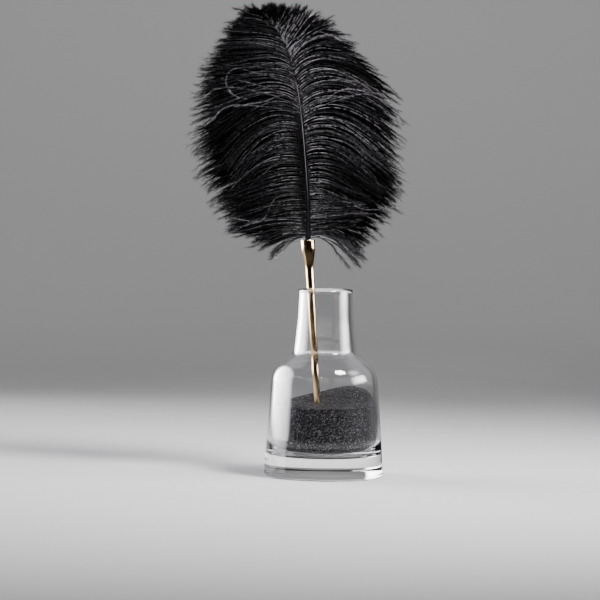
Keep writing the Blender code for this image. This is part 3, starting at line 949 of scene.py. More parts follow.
@dataclass
class Barbs:
    """Many barbs as arrays, one row for each barb.

    own and shared are the barb's own curve and its wisp's, rise is how far its root sits below the
    curve's start, loose is how far it strays from its wisp, and swing, waves and phases make it waver.
    """

    side: Side
    own: Array
    shared: Array
    rise: Array
    loose: Array
    swing: Array
    waves: Array
    phases: Array
    shade: Array
    spacing: tuple[float, float, float]
    radius: float
    web: float
    base_reach: Array | float = 0.0
    base_shading: Array | float = 1.0
    fade: float = 5.0 * MM

    def at(self, shares: Array) -> Array:
        """Returns the barbs' points at shares of their way.

        A barb runs between its own curve and its wisp's; spacing gives the share of its own at the root,
        the middle and the tip. It starts lower by its rise, which dies away within the first few
        millimetres, and wavers by two sines that grow along it.

        Args:
            shares: the shares, shaped (barbs, places).

        Returns:
            The points, shaped (barbs, places, 3).
        """
        own = on_curves(self.own, shares)
        shared = on_curves(self.shared, shares)
        apart = np.interp(shares, [0.0, 0.15, 0.5, 1.0], [self.spacing[0], *self.spacing]) * self.loose[:, None]
        place = shared + (own - shared) * apart[..., None]
        length = np.linalg.norm(self.own[:, 3] - self.own[:, 0], axis=1)
        grown = np.clip(shares, 0.0, 1.0)
        place[..., 2] -= self.rise[:, None] * np.exp(-grown * length[:, None] / self.fade)
        turn = 2 * math.pi * self.waves[:, None] * shares
        grow = grown**1.3
        place[..., 2] += self.swing[:, :1] * grow * np.sin(turn + self.phases[:, :1])
        place[..., 1] += self.swing[:, 1:] * grow * np.sin(turn * 0.8 + self.phases[:, 1:])
        return place

    def shades(self, shares: Array) -> Array:
        """Returns the barbs' shade at shares of their way: next to the shaft it is multiplied by the base shading,
        which paints shade there at some root heights and a highlight at others.
        """
        length = np.linalg.norm(self.own[:, -1] - self.own[:, 0], axis=1)
        reach = np.maximum(np.broadcast_to(self.base_reach, length.shape), 0.1 * MM)
        free = np.clip(shares * (length / reach)[:, None] * 2.0 - 1.0, 0.0, 1.0)
        tone = np.broadcast_to(self.base_shading, length.shape)[:, None]
        return self.shade[:, None] * (tone + (1.0 - tone) * free)

    def frames(self, shares: Array) -> tuple[Array, Array, Array, Array]:
        """Returns the barbs' points, directions, and the two directions across them, at some shares.

        The first one across is upright in the plume's plane, the second is the other perpendicular.
        """
        step = 0.01
        place = self.at(shares)
        along = self.at(shares + step) - self.at(shares - step)
        along /= np.linalg.norm(along, axis=-1, keepdims=True)
        upright = np.cross(along, np.array([0.0, 1.0, 0.0])) * self.side.value
        upright /= np.linalg.norm(upright, axis=-1, keepdims=True)
        return place, along, upright, np.cross(along, upright)

    def tubes(self, rings: int) -> Skin:
        """Carries a three-sided ring along each barb; its radius falls to a third at the tip.

        Args:
            rings: number of rings on each barb.

        Returns:
            Their skin, with the values along and shade.
        """
        count = len(self.own)
        shares = np.broadcast_to(np.linspace(0.0, 1.0, rings) ** 1.25, (count, rings))
        place, _, upright, depth = self.frames(shares)
        radius = (self.radius * (1.0 - 0.7 * shares**0.7))[..., None, None]
        angles = np.arange(3) * 2 * math.pi / 3 + 0.5
        offsets = np.cos(angles)[:, None] * upright[..., None, :] + np.sin(angles)[:, None] * depth[..., None, :]
        points = (place[..., None, :] + radius * offsets).reshape(-1, 3)
        corners, sizes = ring_faces(rings, 3, False, False)
        ends = np.array([2, 1, 0, 3 * rings - 3, 3 * rings - 2, 3 * rings - 1])
        corners = np.concatenate([corners, ends])
        sizes = np.concatenate([sizes, [3, 3]])
        per = rings * 3
        all_corners = (corners[None, :] + per * np.arange(count)[:, None]).reshape(-1)
        values = {"along": np.repeat(shares.reshape(-1), 3), "shade": np.repeat(self.shades(shares).reshape(-1), 3)}
        return Skin(points, all_corners, np.tile(sizes, count), values)

    def webs(self, rings: int, rng: np.random.Generator) -> Skin:
        """Lays a flat ragged ribbon behind each barb, for the mat of its finest down, at the darkest shade so that it
        also paints shade into the gaps between the barbs.

        Args:
            rings: number of steps along each ribbon.
            rng: the source of chance.

        Returns:
            Their skin, with the values along and shade.
        """
        count = len(self.own)
        shares = np.broadcast_to(np.linspace(0.0, 0.92, rings), (count, rings))
        place, _, upright, depth = self.frames(shares)
        width = self.web * np.interp(shares, [0.0, 0.15, 0.4, 0.75, 0.92], [0.35, 0.65, 1.0, 0.85, 0.1])
        low = smooth_step(228.0 * MM, 244.0 * MM, self.own[:, 0, 2])
        width = width * (0.15 + 0.85 * low[:, None])
        below, above = (width * rng.uniform(0.5, 1.2, width.shape) for _ in range(2))
        behind = place + depth * 0.2 * MM
        points = np.stack([behind - upright * below[..., None], behind + upright * above[..., None]], axis=2).reshape(-1, 3)
        step = np.arange(rings - 1)[:, None] * 2 + np.array([0, 1, 3, 2])
        corners = (step.reshape(1, -1) + 2 * rings * np.arange(count)[:, None]).reshape(-1)
        # painted shade: the ribbons carry the darkest shade
        values = {"along": np.repeat(shares.reshape(-1), 2), "shade": np.zeros(count * rings * 2)}
        return Skin(points, corners, np.full(count * (rings - 1), 4), values)

    def leave(self, shares: Array, opening: Array, rng: np.random.Generator) -> tuple[Array, Array, Array, Array]:
        """Works out where barbules start and which ways they go.

        A barbule leaves by the opening angle from the barb, up or down in the plume's plane give or take
        a chance turn round the barb.

        Args:
            shares: where on the barbs they start.
            opening: their angles from the barbs, in radians.
            rng: the source of chance.

        Returns:
            Starts, first directions, the directions at half that angle, and the directions across.
        """
        place, along, upright, depth = self.frames(shares)
        edge = np.where(rng.uniform(size=shares.shape) < 0.5, 0.0, math.pi)
        turn = edge + rng.normal(0.0, 0.7, shares.shape)
        aside = np.cos(turn)[..., None] * upright + np.sin(turn)[..., None] * depth
        first = np.cos(opening)[..., None] * along + np.sin(opening)[..., None] * aside
        later = np.cos(opening * 0.4)[..., None] * along + np.sin(opening * 0.4)[..., None] * aside
        tilt = rng.uniform(0.0, math.pi, shares.shape)[..., None]
        flat = np.cos(tilt) * np.cross(first, depth) + np.sin(tilt) * depth
        return place, first, later, flat / np.linalg.norm(flat, axis=-1, keepdims=True)

    def fringe(self, count: int, reach: tuple[float, float, float], rng: np.random.Generator) -> Skin:
        """Grows curved barbules: ribbons of two joints that bend towards the barb and hang a little.

        Args:
            count: number on each barb.
            reach: their length at the root, at the middle and near the tip.
            rng: the source of chance.

        Returns:
            Their skin, with the values along and shade.
        """
        shares = (np.arange(count) + rng.uniform(0.0, 1.0, (len(self.own), count))) / count
        shares = 0.06 + 0.94 * shares**0.8
        length = np.interp(shares, [0.0, 0.15, 0.5, 0.85, 1.0], [reach[0], *reach, reach[2] * 0.75])
        length = length * rng.uniform(0.6, 1.15, shares.shape)
        opening = np.radians(np.interp(shares, [0.0, 0.5, 0.8, 1.0], [34.0, 32.0, 42.0, 26.0]) + rng.normal(0.0, 8.0, shares.shape))
        place, first, later, flat = self.leave(shares, opening, rng)
        half = flat * (0.08 * MM)
        middle = place + first * (length * 0.5)[..., None]
        end = middle + later * (length * 0.5)[..., None]
        end[..., 2] -= 0.1 * length
        points = np.stack([place - half, place + half, middle - half * 0.8, middle + half * 0.8, end], axis=2)
        pattern = np.array([0, 1, 3, 0, 3, 2, 2, 3, 4])
        number = shares.size
        corners = (pattern[None, :] + 5 * np.arange(number)[:, None]).reshape(-1)
        values = {"along": np.repeat(shares.reshape(-1), 5), "shade": np.repeat(self.shades(shares).reshape(-1), 5)}
        return Skin(points.reshape(-1, 3), corners, np.full(number * 3, 3), values)

    def down(self, count: int, reach: tuple[float, float, float], rng: np.random.Generator) -> Skin:
        """Grows straight barbules, one narrow triangle each, closer together towards the root.

        Args:
            count: number on each barb.
            reach: their length at the root, at the middle and near the tip.
            rng: the source of chance.

        Returns:
            Their skin, with the values along and shade.
        """
        shares = (np.arange(count) + rng.uniform(0.0, 1.0, (len(self.own), count))) / count
        shares = 0.98 * shares**1.1
        length = np.interp(shares, [0.0, 0.15, 0.5, 0.85, 1.0], [reach[0], *reach, reach[2] * 0.75])
        length = length * rng.uniform(0.6, 1.15, shares.shape)
        opening = np.radians(np.interp(shares, [0.0, 0.5, 0.8, 1.0], [24.0, 26.0, 38.0, 24.0]) + rng.normal(0.0, 9.0, shares.shape))
        place, first, _, flat = self.leave(shares, opening, rng)
        half = flat * (0.19 * MM)
        end = place + first * length[..., None]
        points = np.stack([place - half, place + half, end], axis=2)
        number = shares.size
        values = {"along": np.repeat(shares.reshape(-1), 3), "shade": np.repeat(self.shades(shares).reshape(-1), 3)}
        return Skin(points.reshape(-1, 3), np.arange(number * 3), np.full(number, 3), values)


def through(points: Array, shares: Array) -> Array:
    """Returns points on a smooth curve through some points, at shares of its way.

    The way is measured along the straight lines between the points. Each stretch is a cubic, and the
    slope at a point is a weighted mean of the slopes on either side.

    Args:
        points: the points, one row each.
        shares: the shares, in any shape.

    Returns:
        The points, with one more dimension than the shares.
    """
    steps = np.linalg.norm(np.diff(points, axis=0), axis=1)
    knots = np.concatenate([[0.0], np.cumsum(steps)]) / steps.sum()
    slopes = np.gradient(points, knots, axis=0)
    span = np.clip(np.searchsorted(knots, shares, side="right") - 1, 0, len(points) - 2)
    width = (knots[span + 1] - knots[span])[..., None]
    t = (shares - knots[span])[..., None] / width
    place = points[span] + (points[span + 1] - points[span]) * t * t * (3 - 2 * t)
    return place + width * (slopes[span] * t * (1 - t) ** 2 - slopes[span + 1] * t * t * (1 - t))


@dataclass
class StrayBarbs(Barbs):
    """Barbs that each run along a smooth curve through points of their own."""

    def at(self, shares: Array) -> Array:
        """Returns the barbs' points at shares of their way."""
        return np.stack([through(points, row) for points, row in zip(self.own, shares)])


Row = tuple[float, float, float, float, float, float]


@dataclass
class Layer:
    """One layer of a vane: barbs gathered in wisps that leave the shaft side by side.

    rows give, at a few heights of the roots in millimetres, the angle at which the barbs leave in
    degrees above the horizontal, the place of their tips, the angle that they end at, and how far the
    root sits below the curve's start. depths are the layer's front and back as shares of the plume's
    half depth, negative towards the viewer. glow scales the barbs' shade by the height of their roots,
    which sets their colour as well as their gloss: painted light and painted shade over zones of the vane.
    """

    name: str
    rows: tuple[Row, ...]
    wisps: int
    barbs_in_wisp: int
    depths: tuple[float, float]
    lengths: tuple[float, float]
    evenness: float
    width: float
    strays: float
    fringe: int
    down: int
    reach: tuple[float, float, float]
    spacing: tuple[float, float, float]
    web: float
    seed: int
    radius: float = 0.3 * MM
    glow: tuple[tuple[float, float], ...] = ((227.0, 1.0), (439.0, 1.0))
    base: tuple[tuple[float, float, float], ...] = ((227.0, 0.0, 1.0), (439.0, 0.0, 1.0))
    density: tuple[tuple[float, float], ...] = ((227.0, 0.77), (439.0, 1.43))
    foot: float = 226.5 * MM
    tip: float = 439.0 * MM
    highest: float = 447.0 * MM
    half_depths: tuple[tuple[float, float], ...] = ((227.0, 16.0), (270.0, 27.0), (390.0, 24.0), (437.0, 7.0))

    def curves(
        self, side: Side, plume: "Plume", roots: Array, depths: Array, lengths: Array, rng: np.random.Generator, stray: float
    ) -> tuple[Array, Array]:
        """Works out four-point curves from the shaft to the tips.

        The first handle leaves the shaft at the row's angle and the last one arrives at the tip at the
        row's end angle; both are 0.38 of the way from root to tip long. The tip is moved in or out
        along the straight way by the length, and aside by chance. Towards the feather's tip the barbs
        start from the front of the shaft and not from its side, so that they cover it.

        Args:
            side: the vane's side.
            plume: the plume that the layer belongs to.
            roots: heights of the roots.
            depths: shares of the half depth, one for each root.
            lengths: share of the full length, one for each root.
            rng: the source of chance.
            stray: how far the tips stray.

        Returns:
            The curves, shaped (count, 4, 3), and the rises.
        """
        table = np.array(self.rows)
        leave, tip_x, tip_z, arrive, rise = (np.interp(roots / MM, table[:, 0], column) for column in table[:, 1:].T)
        half = np.interp(roots / MM, *np.array(self.half_depths).T) * MM
        rise = rise * MM * np.minimum(1.0, lengths)
        sign = side.value
        face = plume.shaft.half_width(roots)
        over = smooth_step(362.0 * MM, 384.0 * MM, roots)
        aside = sign * face * (0.85 - 0.7 * over)
        forward = face * (0.35 * depths - over * (0.8 - 0.5 * depths))
        start = plume.shaft.centre(roots, plume.sleeve) + np.stack([aside, forward, rise], axis=-1)
        end = np.stack([tip_x * MM, start[:, 1] + depths * half, tip_z * MM], axis=-1)
        end = start + (end - start) * lengths[:, None]
        end = end + rng.normal(0.0, stray, (len(roots), 3)) * np.array([0.6, 0.8, 1.0])
        end[:, 2] = np.minimum(end[:, 2], self.highest)
        reach = np.linalg.norm(end - start, axis=1) * 0.38
        leave = np.radians(leave + rng.normal(0.0, 2.0, len(roots)))
        arrive = np.radians(arrive + rng.normal(0.0, 6.0, len(roots)))
        first = np.stack([sign * np.cos(leave), depths * half / reach * 0.6, np.sin(leave)], axis=-1)
        last = np.stack([sign * np.cos(arrive), np.zeros_like(arrive), np.sin(arrive)], axis=-1)
        return np.stack([start, start + first * reach[:, None], end - last * reach[:, None], end], axis=1), rise

    def grow(self, side: Side, plume: "Plume") -> Barbs:
        """Draws the lots of every wisp and barb.

        Args:
            side: the vane's side.
            plume: the plume that the layer belongs to.

        Returns:
            The barbs.
        """
        rng = np.random.default_rng(self.seed)
        chance = rng.uniform(0.0, 1.0, self.wisps)
        shares = (np.arange(self.wisps) + 0.5 + (chance - 0.5) * (1.0 - self.evenness)) / self.wisps
        heights = np.linspace(self.foot, self.tip, 200)
        grown = np.cumsum(np.interp(heights / MM, *np.array(self.density).T))
        roots = np.interp(shares, (grown - grown[0]) / (grown[-1] - grown[0]), heights)
        depths = rng.permutation(np.linspace(*self.depths, self.wisps))
        lengths = rng.uniform(*self.lengths, self.wisps)
        shared, _ = self.curves(side, plume, roots, depths, lengths, rng, self.strays)
        count = self.wisps * self.barbs_in_wisp
        owner = np.repeat(np.arange(self.wisps), self.barbs_in_wisp)
        barb_roots = np.clip(roots[owner] + rng.uniform(-1.0, 1.0, count) * self.width, self.foot, self.tip)
        barb_depths = np.clip(depths[owner] + rng.normal(0.0, 0.1, count), -1.1, 1.1)
        barb_lengths = lengths[owner] * rng.uniform(0.88, 1.05, count)
        own, rise = self.curves(side, plume, barb_roots, barb_depths, barb_lengths, rng, self.strays * 1.3)
        glow = np.interp(barb_roots / MM, *np.array(self.glow).T)
        base_reach, base_shading = (np.interp(barb_roots / MM, np.array(self.base)[:, 0], column) for column in np.array(self.base)[:, 1:].T)
        return Barbs(
            side=side,
            own=own,
            shared=shared[owner],
            rise=rise,
            loose=rng.uniform(0.6, 1.1, count),
            swing=rng.normal(0.0, 0.6, (count, 2)) * MM * np.array([1.0, 1.4]),
            waves=rng.uniform(1.5, 3.5, count),
            phases=rng.uniform(0.0, 2 * math.pi, (count, 2)),
            shade=np.clip(rng.normal(0.5, 0.26, self.wisps)[owner] + rng.normal(0.0, 0.25, count), 0.0, 1.0) * glow,
            spacing=self.spacing,
            radius=self.radius,
            web=self.web,
            base_reach=base_reach * MM * rng.uniform(0.75, 1.2, count),
            base_shading=base_shading,
        )


@dataclass
class Plume:
    """The whole feather: shaft, two vanes of three layers each and a few stray barbs over them."""

    sleeve: QuillSleeve
    shaft: Shaft
    stray_depth: float = 27.0 * MM
    stray_reach: float = 60.0 * MM
    stray_seed: int = 70

    def stray_points(self, side: Side, root: float, points: tuple[tuple[float, float], ...]) -> Array:
        """Sets the points of one stray barb: its root, a point half way to the first one given, and those.

        The barb comes forward from the shaft to the front of the plume within its first third.

        Args:
            side: the vane's side.
            root: height of the root in millimetres.
            points: x and z of the points that it passes, in millimetres.

        Returns:
            The points in metres, one row each.
        """
        start = self.shaft.centre(np.array([root * MM]), self.sleeve)[0]
        half = float(self.shaft.half_width(np.array(root * MM)))
        start = start + np.array([side.value * half * 0.8, -half * 0.6, 0.0])
        first = np.array(points[0]) * MM
        away = np.array([first[0] - start[0], first[1] - start[2]])
        arch = 0.06 * float(np.hypot(*away))
        level = np.array([[start[0] + away[0] / 2, start[2] + away[1] / 2 + arch], *(np.array(points) * MM)])
        travelled = np.abs(level[:, 0] - start[0])
        forward = start[1] - self.stray_depth * smooth_step(0.0, self.stray_reach, travelled)
        return np.concatenate([start[None, :], np.column_stack([level[:, 0], forward, level[:, 1]])])

    def build_strays(self, horn: bpy.types.Material) -> None:
        """Builds the single barbs that lie over the others, with short barbules."""
        rng = np.random.default_rng(self.stray_seed)
        skins = []
        for side, root, radius, shade, points in STRAYS:
            radius = radius * 0.62
            own = self.stray_points(side, root, points)[None]
            none = np.zeros(1)
            barbs = StrayBarbs(
                side, own, own, none, none, np.zeros((1, 2)), none, np.zeros((1, 2)), np.array([shade]), (1.0, 1.0, 1.0),
                radius * MM, 0.0,
            )
            skins.append(barbs.tubes(40))
            skins.append(barbs.fringe(150, (0.6 * MM, 1.5 * MM, 3.0 * MM), rng))
        dressed(mesh_object("stray_barbs", joined(skins)), horn, "feather")

    def build_combed(self, side: Side, layer: Layer, light: bpy.types.Material, down: bpy.types.Material) -> None:
        """Builds the single crisp barbs that lie in front of one vane, and their short barbules."""
        label = side.name.lower()
        barbs = layer.grow(side, self)
        rng = np.random.default_rng(layer.seed + 100)
        dressed(mesh_object(f"combed_{label}", barbs.tubes(16)), light, "feather")
        barbules = mesh_object(f"barbules_{label}_combed", barbs.fringe(layer.fringe, layer.reach, rng))
        dressed(barbules, down, "feather")

    def build_vane(self, side: Side, layers: list[Layer], horn: bpy.types.Material, down: bpy.types.Material) -> None:
        """Builds one vane: a piece with all its barbs, and a piece of barbules for each layer.

        Args:
            side: the vane's side.
            layers: its layers.
            horn: the barbs' finish.
            down: the barbules' finish.
        """
        label = side.name.lower()
        grown = [(layer, layer.grow(side, self)) for layer in layers]
        piece = mesh_object(f"barbs_{label}", joined([barbs.tubes(13) for _, barbs in grown]))
        dressed(piece, horn, "feather")
        for layer, barbs in grown:
            rng = np.random.default_rng(layer.seed + 100)
            parts = [barbs.fringe(layer.fringe, layer.reach, rng), barbs.down(layer.down, layer.reach, rng)]
            if layer.web > 0.0:
                parts.append(barbs.webs(18, rng))
            piece = mesh_object(f"barbules_{label}_{layer.name}", joined(parts))
            dressed(piece, down, "feather")

    def build(self) -> None:
        """Builds the shaft and both vanes."""
        self.shaft.build(self.sleeve)
        # painted highlight: the barbs' colour is lifted to dark grey at the root and the tip, for the lit ridge of barb
        # bases along the shaft and the lit rim of the right vane
        horn = BarbFinish(
            "black_barbs",
            roughness=0.24,
            specular=0.8,
            bump=0.08 * MM,
            ior=1.6,
            fleck=0.14,
            root=(0.042, 0.039, 0.045),
            middle=(0.026, 0.024, 0.029),
            tip=(0.05, 0.046, 0.052),
        ).material()
        down = BarbFinish("black_barbules", roughness=0.55, specular=0.05, bump=0.0).material()
        self.build_vane(Side.LEFT, layers_of(LEFT_FRONT, LEFT_BACK, LEFT_GLOW, LEFT_BASE, LEFT_DENSITY, LEFT_RIM, 20), horn, down)
        self.build_vane(Side.RIGHT, layers_of(RIGHT_FRONT, RIGHT_BACK, RIGHT_GLOW, RIGHT_BASE, RIGHT_DENSITY, RIGHT_RIM, 30), horn, down)
        # painted highlights: the combed barbs are coloured pale grey; on the left they fade to black at the tips, on
        # the right they stay pale to the tips
        left = BarbFinish(
            "combed_barbs_left",
            roughness=0.32,
            specular=0.6,
            bump=0.05 * MM,
            fleck=0.3,
            patch=0.08,
            lift=COMB_LIFT,
            root=(0.12, 0.112, 0.125),
            middle=(0.055, 0.051, 0.058),
            tip=(0.016, 0.0145, 0.017),
        ).material()
        right = BarbFinish(
            "combed_barbs_right",
            roughness=0.32,
            specular=0.6,
            bump=0.05 * MM,
            fleck=0.3,
            patch=0.08,
            lift=COMB_LIFT,
            root=(0.12, 0.112, 0.125),
            middle=(0.1, 0.094, 0.105),
            tip=(0.12, 0.11, 0.125),
        ).material()
        self.build_combed(Side.LEFT, combed_layer(LEFT_FRONT, LEFT_SHEEN, LEFT_COMB, LEFT_COMB_BASE, 76, 24), left, down)
        self.build_combed(Side.RIGHT, combed_layer(RIGHT_FRONT, RIGHT_SHEEN, RIGHT_COMB, RIGHT_COMB_BASE, 112, 34), right, down)
        # painted highlights: the stray barbs are coloured grey, paler towards the tips, to stand in for the light along
        # them
        strays = BarbFinish(
            "stray_barbs",
            roughness=0.4,
            specular=0.35,
            bump=0.0,
            patch=0.25,
            lift=COMB_LIFT,
            root=(0.04, 0.037, 0.042),
            middle=(0.08, 0.074, 0.084),
            tip=(0.11, 0.1, 0.115),
        ).material()
        self.build_strays(strays)


def layers_of(
    front: tuple[Row, ...],
    back: tuple[Row, ...],
    glow: tuple[tuple[float, float], ...],
    base: tuple[tuple[float, float, float], ...],
    density: tuple[tuple[float, float], ...],
    rim: tuple[tuple[float, float], ...],
    seed: int,
) -> list[Layer]:
    """Returns a vane's three layers: the combed front, the filling middle and the wide back.

    Args:
        front: the rows of the barbs that show in front.
        back: the rows of the barbs that reach the outline.
        glow: how far the front barbs' shade is scaled by root height, which sets their colour as well as their gloss:
            painted light and painted shade over zones of the vane.
        base: how far out from the shaft the barbs' shade is scaled, and by how much, by root height: painted shade
            beside the shaft at some heights, painted highlights at others.
        density: how close together the front wisps grow, by root height.
        rim: how far the shade of the barbs at the outline is scaled by root height, colour as well as gloss; on the
            right it paints a lit rim.
        seed: the first layer's seed.

    Returns:
        The layers, front first.
    """
    return [
        Layer(
            "front",
            front,
            wisps=112,
            barbs_in_wisp=3,
            depths=(-1.0, -0.65),
            lengths=(0.72, 1.0),
            evenness=0.6,
            width=0.45 * MM,
            radius=0.32 * MM,
            glow=glow,
            base=base,
            density=density,
            strays=3.0 * MM,
            fringe=84,
            down=80,
            reach=(0.9 * MM, 2.2 * MM, 4.5 * MM),
            spacing=(0.7, 0.65, 1.0),
            web=0.0,
            seed=seed,
        ),
        Layer(
            "middle",
            front,
            wisps=60,
            barbs_in_wisp=4,
            depths=(-0.6, 0.1),
            lengths=(0.85, 1.04),
            evenness=0.3,
            width=3.0 * MM,
            strays=4.0 * MM,
            fringe=90,
            down=165,
            reach=(2.4 * MM, 4.4 * MM, 5.6 * MM),
            spacing=(1.0, 0.7, 1.0),
            web=1.8 * MM,
            # painted shade: the middle layer's barbs are dimmed so that the gaps between the front wisps read dark
            glow=tuple((height, 0.55 * share) for height, share in glow),
            base=base,
            seed=seed + 1,
        ),
        Layer(
            "back",
            back,
            wisps=130,
            barbs_in_wisp=3,
            depths=(0.0, 1.0),
            lengths=(0.86, 1.01),
            evenness=0.3,
            width=3.0 * MM,
            strays=4.0 * MM,
            fringe=78,
            down=137,
            reach=(3.0 * MM, 5.4 * MM, 7.0 * MM),
            spacing=(1.0, 0.7, 1.0),
            web=2.5 * MM,
            # the back layer takes the rim table: painted light along the outline
            glow=rim,
            base=base,
            seed=seed + 2,
        ),
    ]


def combed_layer(
    rows: tuple[Row, ...],
    glow: tuple[tuple[float, float], ...],
    density: tuple[tuple[float, float], ...],
    base: tuple[tuple[float, float, float], ...],
    count: int,
    seed: int,
) -> Layer:
    """Returns the foremost layer of a vane: single barbs painted pale, as highlights along the strands.

    Args:
        rows: the rows of the barbs.
        glow: how far their shade is scaled by root height, colour as well as gloss: painted highlights, and painted
            shade over the vane's dark zone.
        density: how close together they grow, by root height.
        base: how far out from the shaft their shade is scaled, and by how much, by root height: painted shade beside
            the shaft at some heights, painted highlights at others.
        count: how many there are.
        seed: the layer's seed.

    Returns:
        The layer.
    """
    return Layer(
        "combed",
        rows,
        wisps=count,
        barbs_in_wisp=1,
        depths=(-1.12, -1.0),
        lengths=(0.72, 1.03),
        evenness=0.6,
        width=0.0,
        radius=0.28 * MM,
        glow=glow,
        base=base,
        density=density,
        strays=3.0 * MM,
        fringe=36,
        down=0,
        reach=(0.6 * MM, 1.2 * MM, 2.6 * MM),
        spacing=(1.0, 1.0, 1.0),
        web=0.0,
        seed=seed,
    )


LEFT_FRONT: tuple[Row, ...] = (  # root height, leaving angle, tip x, tip height, end angle, rise
    (227.0, -8.0, -55.0, 207.0, -35.0, 0.5),
    (231.0, 4.0, -68.0, 224.0, -12.0, 0.5),
    (239.0, 8.0, -98.0, 230.0, -8.0, 0.8),
    (253.0, 4.0, -88.0, 237.0, -18.0, 0.8),
    (267.0, 6.0, -103.0, 248.0, -12.0, 0.8),
    (283.0, 8.0, -99.0, 265.0, -15.0, 0.8),
    (300.0, 14.0, -92.0, 275.0, -50.0, 1.0),
    (319.0, 18.0, -91.0, 281.0, -62.0, 1.5),
    (338.0, 18.0, -107.0, 302.0, -48.0, 1.5),
    (350.0, 22.0, -115.0, 333.0, -40.0, 3.0),
    (362.0, 24.0, -112.0, 356.0, -18.0, 4.0),
    (376.0, 20.0, -124.0, 377.0, -4.0, 4.0),
    (391.0, 20.0, -111.0, 398.0, -5.0, 4.0),
    (405.0, 18.0, -105.0, 411.0, -4.0, 3.0),
    (421.0, 18.0, -96.0, 430.0, 8.0, 1.5),
    (433.0, 20.0, -84.0, 437.0, 8.0, 1.0),
    (436.0, 34.0, -78.0, 441.0, 24.0, 0.5),
    (439.0, 80.0, -68.0, 446.0, 60.0, 0.0),
)
LEFT_BACK: tuple[Row, ...] = (
    (227.0, -8.0, -55.0, 208.0, -38.0, 0.5),
    (240.0, 14.0, -94.0, 233.0, -22.0, 0.5),
    (256.0, 24.0, -107.0, 248.0, -26.0, 0.8),
    (275.0, 27.0, -121.0, 265.0, -32.0, 0.8),
    (300.0, 26.0, -127.0, 288.0, -38.0, 1.0),
    (328.0, 25.0, -131.0, 313.0, -34.0, 1.5),
    (352.0, 22.0, -129.0, 345.0, -22.0, 3.0),
    (375.0, 19.0, -127.0, 371.0, -10.0, 4.0),
    (396.0, 14.0, -117.0, 395.0, -3.0, 3.0),
    (413.0, 14.0, -102.0, 415.0, 0.0, 2.0),
    (425.0, 16.0, -89.0, 431.0, 6.0, 1.0),
    (435.0, 30.0, -80.0, 439.0, 18.0, 0.5),
    (439.0, 80.0, -69.0, 445.0, 60.0, 0.0),
)
RIGHT_FRONT: tuple[Row, ...] = (
    (227.0, 6.0, 33.0, 197.0, -42.0, 0.0),
    (232.0, 10.0, 38.0, 218.0, -44.0, 0.0),
    (238.0, 3.0, 36.0, 243.0, 6.0, 0.0),
    (245.0, 3.0, 42.0, 250.0, 4.0, 0.3),
    (258.0, 2.0, 38.0, 253.0, 0.0, 0.5),
    (270.0, 2.0, 36.0, 257.0, -10.0, 1.0),
    (281.0, 4.0, 53.0, 259.0, -16.0, 2.0),
    (300.0, 8.0, 61.0, 264.0, -42.0, 2.5),
    (319.0, 14.0, 71.0, 282.0, -38.0, 2.5),
    (333.0, 24.0, 69.0, 296.0, -38.0, 2.5),
    (345.0, 34.0, 66.0, 338.0, -42.0, 2.5),
    (357.0, 38.0, 66.0, 353.0, -28.0, 2.5),
    (371.0, 40.0, 65.0, 355.0, -36.0, 2.5),
    (384.0, 46.0, 42.0, 395.0, -20.0, 2.0),
    (393.0, 52.0, 14.0, 412.0, -18.0, 1.5),
    (400.0, 50.0, 6.0, 432.0, 22.0, 1.0),
    (407.0, 56.0, -18.0, 441.0, 56.0, 1.0),
    (412.0, 62.0, -26.0, 444.0, 63.0, 1.0),
    (424.0, 70.0, -38.0, 444.0, 70.0, 0.5),
    (431.0, 82.0, -53.0, 445.0, 84.0, 0.0),
    (439.0, 88.0, -58.0, 446.0, 88.0, 0.0),
)
RIGHT_BACK: tuple[Row, ...] = (
    (227.0, 2.0, 35.0, 198.0, -46.0, 0.0),
    (240.0, 10.0, 40.0, 219.0, -42.0, 0.0),
    (256.0, 14.0, 58.0, 240.0, -28.0, 0.5),
    (275.0, 22.0, 70.0, 251.0, -30.0, 1.0),
    (300.0, 31.0, 71.0, 270.0, -34.0, 2.0),
    (328.0, 41.0, 70.0, 300.0, -38.0, 2.5),
    (346.0, 45.0, 70.0, 327.0, -36.0, 2.5),
    (366.0, 50.0, 60.0, 360.0, -32.0, 2.0),
    (385.0, 54.0, 42.0, 388.0, -24.0, 2.0),
    (400.0, 57.0, 20.0, 410.0, -5.0, 1.5),
    (411.0, 60.0, 2.0, 430.0, 25.0, 1.0),
    (420.0, 66.0, -18.0, 440.0, 50.0, 1.0),
    (429.0, 76.0, -38.0, 443.0, 68.0, 0.5),
    (439.0, 88.0, -55.0, 446.0, 80.0, 0.0),
)


